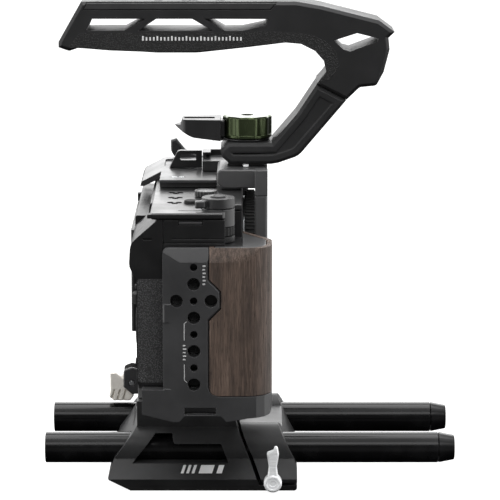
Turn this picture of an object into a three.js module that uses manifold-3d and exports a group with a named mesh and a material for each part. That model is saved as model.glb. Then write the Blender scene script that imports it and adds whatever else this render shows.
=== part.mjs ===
// A cinema camera rig: a mirrorless cinema camera held in a metal cage with a wooden grip
// cover, on a baseplate that clamps two 15 mm rods, with a top handle on a clamp knob.
// Millimetres. +X points where the lens looks, +Y to the camera's left, +Z up.
// X = 0 is the middle of the rods, Y = 0 the optical axis, Z = 0 the underside of the base.
import * as THREE from "three";
import { mergeVertices } from "three/addons/utils/BufferGeometryUtils.js";
import Module from "manifold-3d";

// ---------------------------------------------------------------- driving dimensions
const GAP = 0.3; // between pieces that touch
const RUN = 0.35; // radial clearance round a turning or sliding shaft
const ARC_STEP = Math.PI / 8; // the longest arc that one straight edge stands for

const ROD = { diameter: 15, length: 200, spacing: 60, height: 17.5, bore: 9 };
const ROD_CAP = { length: 8, tip: 12, spigot: 6 };

const BASE = {
  rear: -69,
  front: 22.8,
  height: 42,
  barrelWall: 4.2,
  skirt: 6.7,
  flare: 8,
  flareTop: 14.8,
  undercut: 4,
  riserRear: -55,
  riserFront: -5,
  riserHalf: 36,
};
const BASE_WINDOW = { rear: -57, front: -10.5, low: 13, high: 22, notchFront: -37, notchHigh: 26.6 };
const JAW = { splitTop: -4.8, splitLow: 6.2, floor: 4.5, kerf: 1.5, topFront: 13.9, depth: 22 };
const CLAMP_LEVER = { x: 11, z: 5.7, hub: 4.4, thickness: 4, neck: 2, reach: 18.7, screw: 2 };
const PLATE = { rear: -54.7, front: -6, half: 31, thickness: 8, pad: 1.2 };

const CAMERA_SCREW = { thread: 3.1, head: 5.5, bite: 5 };

const LOCK = { x: -60.2, y: 30, z: 36.5, half: 6, cheek: 1.7, height: 13.5, reach: 8.3, pin: 1.3 };

const CAMERA = {
  rear: -52.6,
  front: -3.8,
  right: -84,
  left: 58,
  height: 81.7,
  wall: 2.2,
  split: -40,
  deck: 3,
};
const HUMP = { depth: 3.5, left: -36, low: 50.5, shoulder: 11 };
const LENS = { height: 45.5, ring: 30, throat: 24, ringDepth: 2.4, cap: 33, capFront: 7.1 };
const GRIP = { low: 1.5, high: 62.5 };
const STACK = {
  x: -14.8,
  y: -70,
  radius: 7.7,
  low: 65.9,
  base: 3.2,
  dial: 4,
  tower: 8.4,
  ring: 4.6,
  spindle: 2.5,
  crown: 3.4,
  stem: 1.3,
  teeth: 24,
  tooth: 0.45,
};
const STACK_WALL = { front: -11.6, face: -78.3, corner: 2.4 }; // the camera's wall beside the stack
const MODE_DIAL = { x: -21, y: -37, radius: 5.5, height: 3, stem: 2, teeth: 20, tooth: 0.4 };
const RECORD = { x: -28, y: -56, radius: 3, height: 1.4, seat: 1.4 };
const LEDGE = { step: 3.8, high: 72.4, overhang: 2.4 }; // the shelf along the camera's rear edge
const BATTERY = { x: [-38, -20], y: [-78, -46], z: [4, 38] };
const PORT = { rear: -38, front: -17, low: 18, high: 60, thickness: 2 };
const THUMB = { x: -49.6, y: -75, radius: 5.6, low: 37.7, width: 5 };
const LCD = { near: -30, far: 51.5, low: 14, high: 64, thickness: 4.6, knuckle: 2.3, pin: 1.2 };
const SHUTTER_TRAVEL = 1;

const CAGE = { side: 5.7, floorFront: -4, far: 4.8, top: 4, topNear: -15, topFront: -16.4 };
const SKIRT = { rear: -50.3, low: 46, high: 61.3, front: 10.5, sill: 7, toe: 47.3 };
const PANEL = {
  rear: -40.4,
  front: -19.1,
  lobe: 5.4,
  lobeHigh: 113,
  lobeLow: 94,
  shoulder: 2.6,
  top: 127.8,
  margin: 1.6,
};
const PANEL_HOLES = { x: -26, first: 63.5, pitch: 15.85, count: 4, large: 6, small: 3.6, side: 8 };
const STRAP_SLOT = { rear: -31, front: -15.5, low: 49, high: 52.4, depth: 2.5 };
const WOOD = {
  front: 10.3,
  corner: 12,
  knee: -66,
  heel: -44,
  skin: 2.6,
  backing: 2.8,
  low: 58,
  high: 127.8,
  foot: 3.5,
};
const CROWN = { height: 6.5, depth: 2.2 }; // the bevel across the top of the panel and the wood
const LID = 1.8;
const COLUMN = { rear: 2.4, front: 8.4, near: -42, far: -34, toe: 12 };
const MOUNT_BLOCK = { rear: -16, front: 8.4, near: -21, far: 31, thickness: 9.2, lift: 0.8, riser: 1.2 };

const SHOE = {
  rear: -23.6,
  width: 18.6,
  near: 10.7,
  hood: 18.5,
  far: 30,
  floor: 5.4,
  slot: 2,
  lip: 1.2,
  wall: 1.6,
  rail: 4,
};

const HANDLE = { axis: -1.35, half: 14, foot: 10.4, bevel: 1.6 };
const SEAM = { inner: [33.5, 38.9], outer: [48, 31.2], bolt: 2.6, grip: 8.5, reach: 11.5 };
const STRIP = { rear: -78.6, front: 14, low: 75.4, high: 78.5, depth: 1.4 };
const KNOB = { radius: 12, lobes: 10, scallop: 1, flange: 1.6, height: 10.7, recess: 3 };
const BLADE = { tip: 35.6, root: 14, half: 10.5, high: 10.4, hub: 0.8 };
const STUD = 3; // radius of the handle's clamping stud

// ---------------------------------------------------------------- finishes
const finish = (color, roughness, metalness) =>
  new THREE.MeshStandardMaterial({ color, roughness, metalness });
const FINISH = {
  blackAnodised: finish(0x17181a, 0.45, 0.6),
  greyAnodised: finish(0x3a3b3d, 0.5, 0.6),
  glossRod: finish(0x0c0c0d, 0.2, 0.7),
  silver: finish(0xd8dadb, 0.25, 1),
  nickel: finish(0xc4b9ab, 0.3, 1),
  green: finish(0x1d2a18, 0.28, 0.8),
  walnut: finish(0x4a3226, 0.6, 0),
  cameraShell: finish(0x242526, 0.6, 0),
  rubber: finish(0x161616, 0.85, 0),
  glass: finish(0x08090b, 0.05, 0),
  board: finish(0x1c4a2c, 0.6, 0.1),
  steel: finish(0x9a9c9e, 0.35, 1),
};

// ---------------------------------------------------------------- solids
const wasm = await Module();
wasm.setup();

// A closed geometry as a solid: shared corners are merged and slivers dropped.
function solid(geometry) {
  const bare = geometry.clone();
  bare.deleteAttribute("normal");
  bare.deleteAttribute("uv");
  const merged = mergeVertices(bare, 1e-4);
  const corners = merged.index.array;
  const kept = [];
  for (let i = 0; i < corners.length; i += 3) {
    const [a, b, c] = [corners[i], corners[i + 1], corners[i + 2]];
    if (a !== b && b !== c && c !== a) kept.push(a, b, c);
  }
  const build = (triangles) =>
    new wasm.Manifold(
      new wasm.Mesh({
        numProp: 3,
        vertProperties: merged.attributes.position.array,
        triVerts: new Uint32Array(triangles),
      }),
    );
  const made = build(kept);
  return made.volume() > 0 ? made : build(kept.reverse());
}

// A solid as a geometry that three.js draws with flat faces.
function geometryOf(manifold) {
  const mesh = manifold.getMesh();
  const geometry = new THREE.BufferGeometry();
  geometry.setAttribute("position", new THREE.BufferAttribute(mesh.vertProperties, 3));
  geometry.setIndex(new THREE.BufferAttribute(mesh.triVerts, 1));
  const faceted = geometry.toNonIndexed();
  faceted.computeVertexNormals();
  return faceted;
}

const join = (first, ...others) => others.reduce((sum, other) => sum.add(other), first);
const cut = (first, ...tools) => tools.reduce((rest, tool) => rest.subtract(tool), first);

const X = new THREE.Vector3(1, 0, 0);
const Y = new THREE.Vector3(0, 1, 0);
const Z = new THREE.Vector3(0, 0, 1);
const FRAMES = {
  x: new THREE.Matrix4().makeBasis(Y, Z, X),
  y: new THREE.Matrix4().makeBasis(X, Z, Y.clone().negate()),
  z: new THREE.Matrix4(),
};

// A closed outline from corners [u, v, radius]; a corner with a radius becomes an arc.
function outline(corners) {
  const points = [];
  corners.forEach(([u, v, radius = 0], i) => {
    const here = new THREE.Vector2(u, v);
    if (!radius) {
      points.push(here);
      return;
    }
    const before = new THREE.Vector2(...corners.at(i - 1).slice(0, 2)).sub(here).normalize();
    const after = new THREE.Vector2(...corners[(i + 1) % corners.length].slice(0, 2));
    after.sub(here).normalize();
    const half = Math.acos(THREE.MathUtils.clamp(before.dot(after), -1, 1)) / 2;
    const centre = here
      .clone()
      .add(before.clone().add(after).normalize().multiplyScalar(radius / Math.sin(half)));
    const start = here.clone().addScaledVector(before, radius / Math.tan(half)).sub(centre);
    const sweep = Math.sign(after.cross(before)) * (Math.PI - 2 * half);
    const steps = Math.max(1, Math.ceil(Math.abs(sweep) / ARC_STEP));
    for (let k = 0; k <= steps; k++) {
      const turned = start.clone().rotateAround(new THREE.Vector2(), (sweep * k) / steps);
      points.push(turned.add(centre));
    }
  });
  return new THREE.Shape(points);
}

// The same corners moved inwards by a distance, for an outline that runs anticlockwise.
function inset(corners, distance) {
  const edges = corners.map(([u, v], i) => {
    const [nextU, nextV] = corners[(i + 1) % corners.length];
    const along = new THREE.Vector2(nextU - u, nextV - v).normalize();
    const start = new THREE.Vector2(u - along.y * distance, v + along.x * distance);
    return { along, start };
  });
  return corners.map((corner, i) => {
    const a = edges.at(i - 1);
    const b = edges[i];
    const reach = b.start.clone().sub(a.start).cross(b.along) / a.along.cross(b.along);
    const at = a.start.clone().addScaledVector(a.along, reach);
    return [at.x, at.y, Math.max(0, (corner[2] ?? 0) - distance)];
  });
}

// An outline pulled along an axis from low to high. Across x it is drawn as (y, z), across
// y as (x, z) and across z as (x, y). A bevel takes the edges off both ends.
function prism(axis, corners, low, high, bevel = 0) {
  const geometry = new THREE.ExtrudeGeometry(outline(corners), {
    depth: high - low - 2 * bevel,
    steps: 1,
    bevelEnabled: bevel > 0,
    bevelThickness: bevel,
    bevelSize: bevel,
    bevelOffset: -bevel,
    bevelSegments: 1,
  });
  geometry.translate(0, 0, (axis === "y" ? -high : low) + bevel);
  geometry.applyMatrix4(FRAMES[axis]);
  return solid(geometry);
}

// A turned solid: profile points [radius, place along the axis], starting and ending on it.
function turned(axis, profile, at, segments = 24) {
  const points = profile.map(([radius, along]) => new THREE.Vector2(radius, along));
  const geometry = new THREE.LatheGeometry(points, segments);
  if (axis === "z") geometry.rotateX(Math.PI / 2);
  if (axis === "x") geometry.rotateZ(-Math.PI / 2);
  geometry.translate(...at);
  return solid(geometry);
}

const rod = (axis, radius, low, high, at, segments) =>
  turned(axis, [[0, low], [radius, low], [radius, high], [0, high]], at, segments);
const tube = (axis, outer, inner, low, high, at, segments) =>
  turned(axis, [[inner, low], [outer, low], [outer, high], [inner, high], [inner, low]], at, segments);

function box(x, y, z) {
  const geometry = new THREE.BoxGeometry(x[1] - x[0], y[1] - y[0], z[1] - z[0]);
  geometry.translate((x[0] + x[1]) / 2, (y[0] + y[1]) / 2, (z[0] + z[1]) / 2);
  return solid(geometry);
}

// A solid moved by a matrix.
function moved(shape, matrix) {
  const geometry = geometryOf(shape);
  geometry.applyMatrix4(matrix);
  return solid(geometry);
}

const mirrorY = (shape) => moved(shape, new THREE.Matrix4().makeScale(1, -1, 1));

// The corners of a toothed wheel round (x, y).
function toothed(x, y, radius, teeth, depth) {
  return Array.from({ length: 2 * teeth }, (_, i) => {
    const angle = (i / teeth) * Math.PI;
    const reach = i % 2 ? radius : radius - depth;
    return [reach * Math.cos(angle) + x, reach * Math.sin(angle) + y];
  });
}

const rig = new THREE.Group();

// Adds a solid as a named mesh to a group.
function piece(group, name, shape, material) {
  const mesh = new THREE.Mesh(geometryOf(shape), material);
  mesh.name = name;
  group.add(mesh);
}

// A sub-assembly's own frame, placed in the rig.
function assembly(x, y, z) {
  const group = new THREE.Group();
  group.position.set(x, y, z);
  rig.add(group);
  return group;
}

// ---------------------------------------------------------------- levels that pieces share
const rodRadius = ROD.diameter / 2;
const rodY = ROD.spacing / 2;
const barrelRadius = rodRadius + RUN + BASE.barrelWall;
const barrelY = rodY + barrelRadius;
const flareY = barrelY + BASE.flare;
const barrelTop = ROD.height + barrelRadius;
const riserTop = Math.max(BASE.height, barrelTop + 6);
const plateLow = riserTop + GAP;
const plateHigh = plateLow + PLATE.thickness;
const padHigh = plateHigh + PLATE.pad;
const cageFloorLow = padHigh + GAP;
const cageFloorHigh = SKIRT.high + (riserTop - BASE.height) - GAP;
const cameraLow = cageFloorHigh + 2 * GAP;
const cameraHigh = cameraLow + CAMERA.height;
const cageTopLow = cameraHigh + GAP;
const cageTopHigh = cageTopLow + CAGE.top;
const cageNear = CAMERA.right - GAP - CAGE.side;
const cageFar = CAMERA.left + GAP;
const blockLow = cageTopLow + MOUNT_BLOCK.lift;
const blockHigh = blockLow + MOUNT_BLOCK.thickness;
const footLow = blockHigh + GAP + MOUNT_BLOCK.riser;
const screenAxis = CAMERA.rear - Math.max(LCD.thickness / 2, LCD.knuckle) - GAP;
const cageLift = cameraLow - 61.6; // how far the camera stands above the cage's own drawing height

// ---------------------------------------------------------------- rods
function makeRods() {
  for (const [side, sign] of [["near", -1], ["far", 1]]) {
    const group = assembly(0, sign * rodY, ROD.height);
    const end = ROD.length / 2;
    const shank = end - ROD_CAP.length;
    const bore = ROD.bore / 2;
    const spigot = bore - RUN;
    piece(group, `rod_${side}`, tube("x", rodRadius, bore, -end, shank, [0, 0, 0]), FINISH.glossRod);
    const capProfile = [
      [0, shank - ROD_CAP.spigot],
      [spigot, shank - ROD_CAP.spigot],
      [spigot, shank + GAP],
      [rodRadius, shank + GAP],
      [ROD_CAP.tip / 2, end],
      [0, end],
    ];
    piece(group, `rod_cap_${side}`, turned("x", capProfile, [0, 0, 0]), FINISH.glossRod);
  }
}

// ---------------------------------------------------------------- baseplate
// The base seen from the end, as (y, z): skirt, flare and the neck above the rod barrels.
const baseSection = (grow = 0) => [
  [-(flareY - BASE.undercut), 0],
  [flareY - BASE.undercut, 0],
  [flareY + grow, BASE.skirt],
  [barrelY + grow, BASE.flareTop + grow],
  [rodY, BASE.flareTop + grow],
  [-rodY, BASE.flareTop + grow],
  [-(barrelY + grow), BASE.flareTop + grow],
  [-(flareY + grow), BASE.skirt],
];

// The base seen from the side, as (x, z).
const baseSide = () => [
  [BASE.rear + 11, 0],
  [BASE.front, 0, 1.5],
  [BASE.front, BASE.flareTop - 3.3, 1],
  [JAW.topFront, barrelTop],
  [JAW.topFront, riserTop + 1],
  [BASE.riserRear, riserTop + 1],
  [BASE.riserRear, barrelTop],
  [BASE.riserRear - 11, BASE.flareTop],
  [BASE.rear, BASE.skirt, 1.5],
];

// The jaw's outline in side view: right of the slanted split, above the slit in the base.
function jawSide(grow) {
  const slope = (JAW.splitLow - JAW.splitTop) / (barrelTop + 3 - JAW.floor);
  const topX = JAW.splitTop - slope * 3;
  return [
    [JAW.splitLow - grow, JAW.floor - grow],
    [BASE.front + 20, JAW.floor - grow],
    [BASE.front + 20, barrelTop + 5],
    [topX - grow, barrelTop + 5],
    [JAW.splitTop - grow, barrelTop],
  ];
}

function baseBlank() {
  const length = [BASE.rear - 1, BASE.front + 1];
  const barrels = [-rodY, rodY].map((y) => rod("x", barrelRadius, ...length, [0, y, ROD.height], 32));
  const neck = [
    [-rodY, BASE.flareTop - 2],
    [rodY, BASE.flareTop - 2],
    [rodY + 4, barrelTop - 1],
    [BASE.riserHalf, barrelTop + 4],
    [BASE.riserHalf, riserTop],
    [-BASE.riserHalf, riserTop],
    [-BASE.riserHalf, barrelTop + 4],
    [-rodY - 4, barrelTop - 1],
  ];
  const web = box([BASE.rear, BASE.front], [-rodY, rodY], [BASE.flareTop - 2, barrelTop - 4]);
  const section = join(prism("x", baseSection(), ...length), ...barrels, web);
  const riser = prism("x", neck, BASE.riserRear - 2, BASE.riserFront);
  return join(section, riser).intersect(prism("y", baseSide(), -flareY - 1, flareY + 1));
}

const rodBore = (sign, extra = 0) =>
  rod("x", rodRadius + RUN + extra, BASE.rear - 5, BASE.front + 5, [0, sign * rodY, ROD.height], 32);

const screwBore = (radius) =>
  rod("y", radius, -flareY - 5, flareY + 5, [CLAMP_LEVER.x, 0, CLAMP_LEVER.z], 16);

function makeBase() {
  const group = assembly(0, 0, 0);
  const blank = baseBlank();
  const jawInner = flareY - JAW.depth;
  const jawPocket = prism("y", jawSide(JAW.kerf), -flareY - 2, -jawInner + GAP);
  const jawSpace = prism("y", jawSide(0), -flareY - 2, -jawInner - GAP);
  const window = prism(
    "y",
    [
      [BASE_WINDOW.rear, BASE_WINDOW.low],
      [BASE_WINDOW.front, BASE_WINDOW.low],
      [BASE_WINDOW.front - 3.5, BASE_WINDOW.high, 1],
      [BASE_WINDOW.notchFront, BASE_WINDOW.high, 1],
      [BASE_WINDOW.notchFront - 0.8, BASE_WINDOW.notchHigh],
      [BASE_WINDOW.rear + 11, BASE_WINDOW.notchHigh],
    ],
    -flareY - 2,
    -rodY,
  );
  const body = cut(
    blank,
    rodBore(-1),
    rodBore(1),
    jawPocket,
    mirrorY(jawPocket),
    window,
    mirrorY(window),
    screwBore(CLAMP_LEVER.screw + RUN),
    lockRelief(),
  );
  piece(group, "base_body", body, FINISH.blackAnodised);

  const jawBlank = blank.intersect(jawSpace).intersect(box([-50, 50], [-99, 0], [0, barrelTop]));
  const jaw = cut(jawBlank, rodBore(-1), screwBore(CLAMP_LEVER.screw + RUN));
  piece(group, "rod_jaw_near", jaw, FINISH.blackAnodised);
  piece(group, "rod_jaw_far", mirrorY(jaw), FINISH.blackAnodised);

  const screw = rod("y", CLAMP_LEVER.screw, -flareY, -14, [CLAMP_LEVER.x, 0, CLAMP_LEVER.z], 16);
  piece(group, "clamp_screw_near", screw, FINISH.steel);
  piece(group, "clamp_screw_far", mirrorY(screw), FINISH.steel);

  const lever = clampLever();
  piece(group, "clamp_lever_near", lever, FINISH.silver);
  piece(group, "clamp_lever_far", mirrorY(lever), FINISH.silver);
}

// The silver lever: a hub on the screw and a waisted arm that ends in a hooked tip.
function clampLever() {
  const { x, z, hub, neck, reach, thickness } = CLAMP_LEVER;
  const arm = [
    [x - neck - 0.9, z],
    [x + neck + 0.9, z],
    [x + neck, z + reach * 0.45, 3],
    [x + neck + 1, z + reach - 4, 2],
    [x + neck + 0.4, z + reach - 1, 1],
    [x + 1, z + reach, 0.8],
    [x + 0.2, z + reach - 2.2, 0.8],
    [x - neck - 1, z + reach - 3.4, 1],
    [x - neck, z + reach * 0.45, 3],
  ];
  const outer = -flareY - GAP;
  const blade = prism("y", arm, outer - thickness, outer - 0.8, 0.7);
  const bossProfile = [
    [0, -thickness - 0.6],
    [hub - 0.8, -thickness - 0.6],
    [hub, -thickness + 0.4],
    [hub, 0],
    [0, 0],
  ];
  return join(blade, turned("y", bossProfile, [x, outer, z]));
}

// The quick-release plate on the base, its pad and the screw that goes up into the camera.
function makePlate() {
  const group = assembly(0, 0, plateLow);
  const middle = (PLATE.rear + PLATE.front) / 2;
  const { half, thickness, pad } = PLATE;
  const section = [
    [-half, 0],
    [half, 0],
    [half - 3, thickness * 0.55],
    [half - 3, thickness],
    [-half + 3, thickness],
    [-half + 3, thickness * 0.55],
  ];
  const hole = (radius) => rod("z", radius, -2, thickness + pad + 2, [middle, 0, 0], 16);
  const headLow = 0.8;
  const headHigh = headLow + 4;
  const plate = cut(
    prism("x", section, PLATE.rear, PLATE.front),
    hole(CAMERA_SCREW.thread + RUN),
    rod("z", CAMERA_SCREW.head + RUN, -1, headHigh + GAP, [middle, 0, 0], 16),
  );
  piece(group, "quick_release_plate", plate, FINISH.blackAnodised);
  const sheet = box(
    [PLATE.rear + 4, PLATE.front - 4],
    [-half + 6, half - 6],
    [thickness + GAP / 2, thickness + pad],
  );
  piece(group, "plate_pad", cut(sheet, hole(CAMERA_SCREW.thread + RUN)), FINISH.rubber);
  const screwTop = cameraLow + CAMERA_SCREW.bite - plateLow;
  const screw = turned(
    "z",
    [
      [0, headLow],
      [CAMERA_SCREW.head, headLow],
      [CAMERA_SCREW.head, headHigh],
      [CAMERA_SCREW.thread, headHigh],
      [CAMERA_SCREW.thread, screwTop],
      [0, screwTop],
    ],
    [middle, 0, 0],
    16,
  );
  return { group, screw };
}

// ---------------------------------------------------------------- the base's rear lock
const lockRelief = () => box([BASE.riserRear - 20, BASE.riserRear], [LOCK.y - 8, LOCK.y + 8], [28, 60]);

function makeLock() {
  const { x, y, z, half, cheek, height, reach, pin } = LOCK;
  const group = assembly(x, y, z);
  const back = BASE.riserRear - GAP - x;
  const cheekSide = [
    [back, -height / 2 + 1],
    [back, height / 2],
    [0, height / 2 + 1.5, 2],
    [-4.2, height / 2, 2],
    [-4.2, -2, 1],
    [0, -height / 2 + 1, 1],
  ];
  const slot = half - cheek;
  const hubRadius = 3.1;
  const housing = cut(
    prism("y", cheekSide, -half, half, 0.6),
    box([-20, back - 1.4], [-slot - GAP, slot + GAP], [-20, 20]),
    rod("y", pin + RUN, -half - 1, half + 1, [0, 0, 0], 12),
  );
  piece(group, "lock_housing", housing, FINISH.greyAnodised);
  piece(group, "lock_pin", rod("y", pin, -half, half, [0, 0, 0], 12), FINISH.steel);
  const paddle = [
    [-1.5, 1.5],
    [-4.8, 2.4],
    [-reach, 5, 1.5],
    [-reach - 2.8, 5, 0.6],
    [-reach - 2.8, -4, 0.6],
    [-reach - 3.4, -7.6, 1.4],
    [-reach - 1, -9.6, 0.6],
    [-1, -9.6, 1],
    [1, -7, 1],
    [0, -3],
  ];
  const ribs = [-9.4, -6.5, -3.6].map((rib) => {
    const groove = [
      [rib, -3.8],
      [rib - 1.7, -10.2],
      [rib - 0.6, -10.2],
      [rib + 1, -3.8],
    ];
    return prism("y", groove, -slot - 1, -slot + 1.2);
  });
  const lever = cut(
    join(prism("y", paddle, -slot, slot, 0.5), rod("y", hubRadius, -slot, slot, [0, 0, 0], 16)),
    rod("y", pin + RUN, -half, half, [0, 0, 0], 12),
    ...ribs,
  );
  piece(group, "lock_lever", lever, FINISH.nickel);
}

// ---------------------------------------------------------------- camera
// The camera's own frame starts at the middle of its underside, so z runs from 0 to its height.
function makeCamera() {
  const group = assembly(0, 0, cameraLow);
  makeCameraShells(group);
  makeLensMount(group);
  makeInsides(group);
  makeDialStack(group);
  makeDeckControls(group);
  makeThumbDial(group);
  makeScreen(group);
  makePortCover(group);
}

function makeCameraShells(group) {
  const { rear, front, right, left, height, wall, split, deck } = CAMERA;
  const inside = [right + wall, left - wall];
  const bodyTop = height - deck - GAP;
  const plan = [
    [split, right],
    [front, right, 3],
    [front, left, 4],
    [split, left],
  ];
  const stackHeights = [STACK.low, height + 1];
  const stackFar = STACK.y + STACK.radius + 3;
  const stackNotch = join(
    box([STACK.x, 0], [STACK_WALL.face, stackFar], stackHeights),
    box([STACK_WALL.front, 0], [right - 1, stackFar], stackHeights),
    rod("z", STACK.radius + GAP, ...stackHeights, [STACK.x, STACK.y, 0], 24),
  );
  const lensAxis = [0, 0, LENS.height];
  const frontShell = cut(
    prism("z", plan, 0, bodyTop),
    cut(
      box([split - 1, front - wall], inside, [wall, bodyTop - wall]),
      box([STACK.x - 3, front], [right, stackFar + 2], [STACK.low - 3, height]),
    ),
    rod("x", LENS.throat, front - 10, front + 1, lensAxis, 32),
    stackNotch,
    rod("z", CAMERA_SCREW.thread + RUN, -1, wall + 1, [(PLATE.rear + PLATE.front) / 2, 0, 0], 16),
  );
  piece(group, "camera_front_shell", frontShell, FINISH.cameraShell);

  const humpSide = [
    [split, 0],
    [split, bodyTop],
    [rear + HUMP.shoulder - 1.4, bodyTop, 4],
    [rear - HUMP.depth + 0.6, bodyTop - HUMP.shoulder, 7],
    [rear - HUMP.depth, HUMP.low + 6, 6],
    [rear, HUMP.low, 3],
    [rear, 0, 1.5],
  ];
  const flatSide = [
    [split, 0],
    [split, bodyTop],
    [rear + LEDGE.step + 1, bodyTop, 1],
    [rear + LEDGE.step, LEDGE.high],
    [rear - LEDGE.overhang, LEDGE.high, 1],
    [rear - LEDGE.overhang, LCD.high + 1.6],
    [rear, LCD.high + 1.6],
    [rear, 0, 1.5],
  ];
  const hinge = LCD.far + 1.1;
  const lugs = [LCD.low - 4.5, LCD.high + 0.5].map((z) =>
    box([rear - LCD.thickness - GAP, rear + 1], [hinge - 2, hinge + 2.4], [z, z + 4]),
  );
  const rearShell = cut(
    join(
      prism("y", humpSide, right, HUMP.left),
      prism("y", flatSide, HUMP.left - 1, left),
      ...lugs,
    ),
    box([rear + wall, split + 1], inside, [wall, bodyTop - HUMP.shoulder]),
    box([split - GAP, split + 1], [right - 1, left + 1], [-1, height + 1]),
    rod("z", THUMB.radius + RUN, THUMB.low - RUN, THUMB.low + THUMB.width + RUN, [THUMB.x, THUMB.y, 0]),
    rod("z", LCD.pin + 0.2, LCD.low - 3, LCD.high + 3, [screenAxis, hinge, 0], 12),
  );
  piece(group, "camera_rear_shell", rearShell, FINISH.cameraShell);

  const deckPlan = [
    [rear + 6.4, right + 2.5, 1],
    [rear + 7, right, 1],
    [STACK_WALL.front, right, STACK_WALL.corner],
    [STACK_WALL.front, STACK_WALL.face],
    [STACK.x - GAP, STACK_WALL.face],
    [STACK.x - GAP, stackFar + GAP],
    [front, stackFar + GAP],
    [front, left, 4],
    [rear + 6.4, left, 2],
  ];
  const deckPlate = cut(
    prism("z", deckPlan, bodyTop + GAP, height, 0.5),
    rod("z", STACK.radius + 2 * GAP, 0, height + 1, [STACK.x, STACK.y, 0], 24),
    rod("z", MODE_DIAL.stem + RUN, 0, height + 1, [MODE_DIAL.x, MODE_DIAL.y, 0], 12),
    rod("z", RECORD.radius + RUN, 0, height + 1, [RECORD.x, RECORD.y, 0], 16),
  );
  piece(group, "camera_top_cover", deckPlate, FINISH.cameraShell);

  const insideWood = WOOD.skin + WOOD.backing + 3 * GAP;
  const grip = prism("z", inset(gripPlan(), insideWood), GRIP.low, GRIP.high).intersect(
    box([front + GAP, 50], [-200, 0], [0, height]),
  );
  piece(group, "camera_grip", grip, FINISH.rubber);
}

function makeLensMount(group) {
  const { ring, throat, ringDepth, cap, capFront, height } = LENS;
  const at = [CAMERA.front, 0, height];
  const flange = tube("x", ring, throat - 1.5, GAP, ringDepth, at, 32);
  piece(group, "lens_mount_ring", flange, FINISH.steel);
  const capProfile = [
    [0, ringDepth + GAP],
    [ring + RUN, ringDepth + GAP],
    [ring + RUN, 0.8],
    [cap, 0.8],
    [cap, capFront - 0.6],
    [cap - 0.6, capFront],
    [0, capFront],
  ];
  piece(group, "body_cap", turned("x", capProfile, at, 32), FINISH.rubber);
}

function makeInsides(group) {
  const { front, wall, split, left } = CAMERA;
  const sensorBack = front - wall - 14;
  piece(
    group,
    "sensor_stack",
    box([sensorBack, sensorBack + 3], [-20, 20], [LENS.height - 14, LENS.height + 14]),
    FINISH.glass,
  );
  piece(
    group,
    "main_board",
    box([split + 6, split + 7.6], [-40, left - wall - 6], [8, CAMERA.height - 16]),
    FINISH.board,
  );
  piece(group, "battery", box(BATTERY.x, BATTERY.y, BATTERY.z), FINISH.rubber);
}

// The stack of rings at the grip's top corner, on one spindle: base, dial, tower, zoom ring.
function makeDialStack(group) {
  const { x, y, radius, low, base, dial, tower, ring, spindle, crown, stem } = STACK;
  const dialLow = low + base + GAP;
  const towerLow = dialLow + dial + GAP;
  const towerHigh = towerLow + tower;
  const ringLow = towerHigh + GAP;
  const ringHigh = ringLow + ring;
  const at = [x, y, 0];
  piece(
    group,
    "dial_seat",
    tube("z", radius, spindle + RUN, low + GAP, low + base, at),
    FINISH.cameraShell,
  );
  const knurled = toothed(x, y, radius, STACK.teeth, STACK.tooth);
  piece(
    group,
    "front_dial",
    cut(prism("z", knurled, dialLow, dialLow + dial), rod("z", spindle + RUN, 0, 99, at, 16)),
    FINISH.rubber,
  );
  const buttonLow = ringHigh - 2.2;
  const towerShape = cut(
    join(
      rod("z", radius, towerLow, towerHigh, at),
      rod("z", spindle, low + 2 * GAP, towerLow + 1, at, 16),
      rod("z", crown, towerHigh - 1, buttonLow, at, 16),
    ),
    rod("z", stem + GAP, towerLow + 3, ringHigh, at, 12),
  );
  piece(group, "dial_tower", towerShape, FINISH.cameraShell);
  const tab = prism(
    "z",
    [
      [x - radius + 3.4, y - 4],
      [x - radius + 1.5, y - 8.5, 1],
      [x - radius - 3, y - 9.6, 1.2],
      [x - radius - 3, y - 5, 1],
    ],
    ringLow + 0.6,
    ringHigh - 0.6,
    0.4,
  );
  const zoomRing = cut(
    join(rod("z", radius, ringLow, ringHigh, at), tab),
    rod("z", crown + RUN, 0, 99, at, 20),
  );
  piece(group, "zoom_ring", zoomRing, FINISH.cameraShell);
  const button = turned(
    "z",
    [
      [0, towerLow + 5],
      [stem, towerLow + 5],
      [stem, buttonLow + SHUTTER_TRAVEL + GAP],
      [crown - 0.1, buttonLow + SHUTTER_TRAVEL + GAP],
      [crown - 0.1, ringHigh + 0.6],
      [crown - 1, ringHigh + 1.1],
      [0, ringHigh + 1.1],
    ],
    at,
    20,
  );
  piece(group, "shutter_button", button, FINISH.steel);
}

function makeDeckControls(group) {
  const { height, deck } = CAMERA;
  const { x, y, radius, stem } = MODE_DIAL;
  const knurled = toothed(x, y, radius, MODE_DIAL.teeth, MODE_DIAL.tooth);
  const dial = join(
    prism("z", knurled, height + GAP, height + MODE_DIAL.height),
    rod("z", stem, height - deck, height + 1, [x, y, 0], 12),
  );
  piece(group, "mode_dial", dial, FINISH.cameraShell);
  const button = rod(
    "z",
    RECORD.radius,
    height - deck + RECORD.seat,
    height + RECORD.height,
    [RECORD.x, RECORD.y, 0],
    16,
  );
  piece(group, "record_button", button, FINISH.rubber);
}

function makeThumbDial(group) {
  const { x, y, radius, low, width } = THUMB;
  const wheel = rod("z", radius, low, low + width, [x, y, 0], 28);
  piece(group, "rear_dial", wheel, FINISH.rubber);
}

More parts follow.
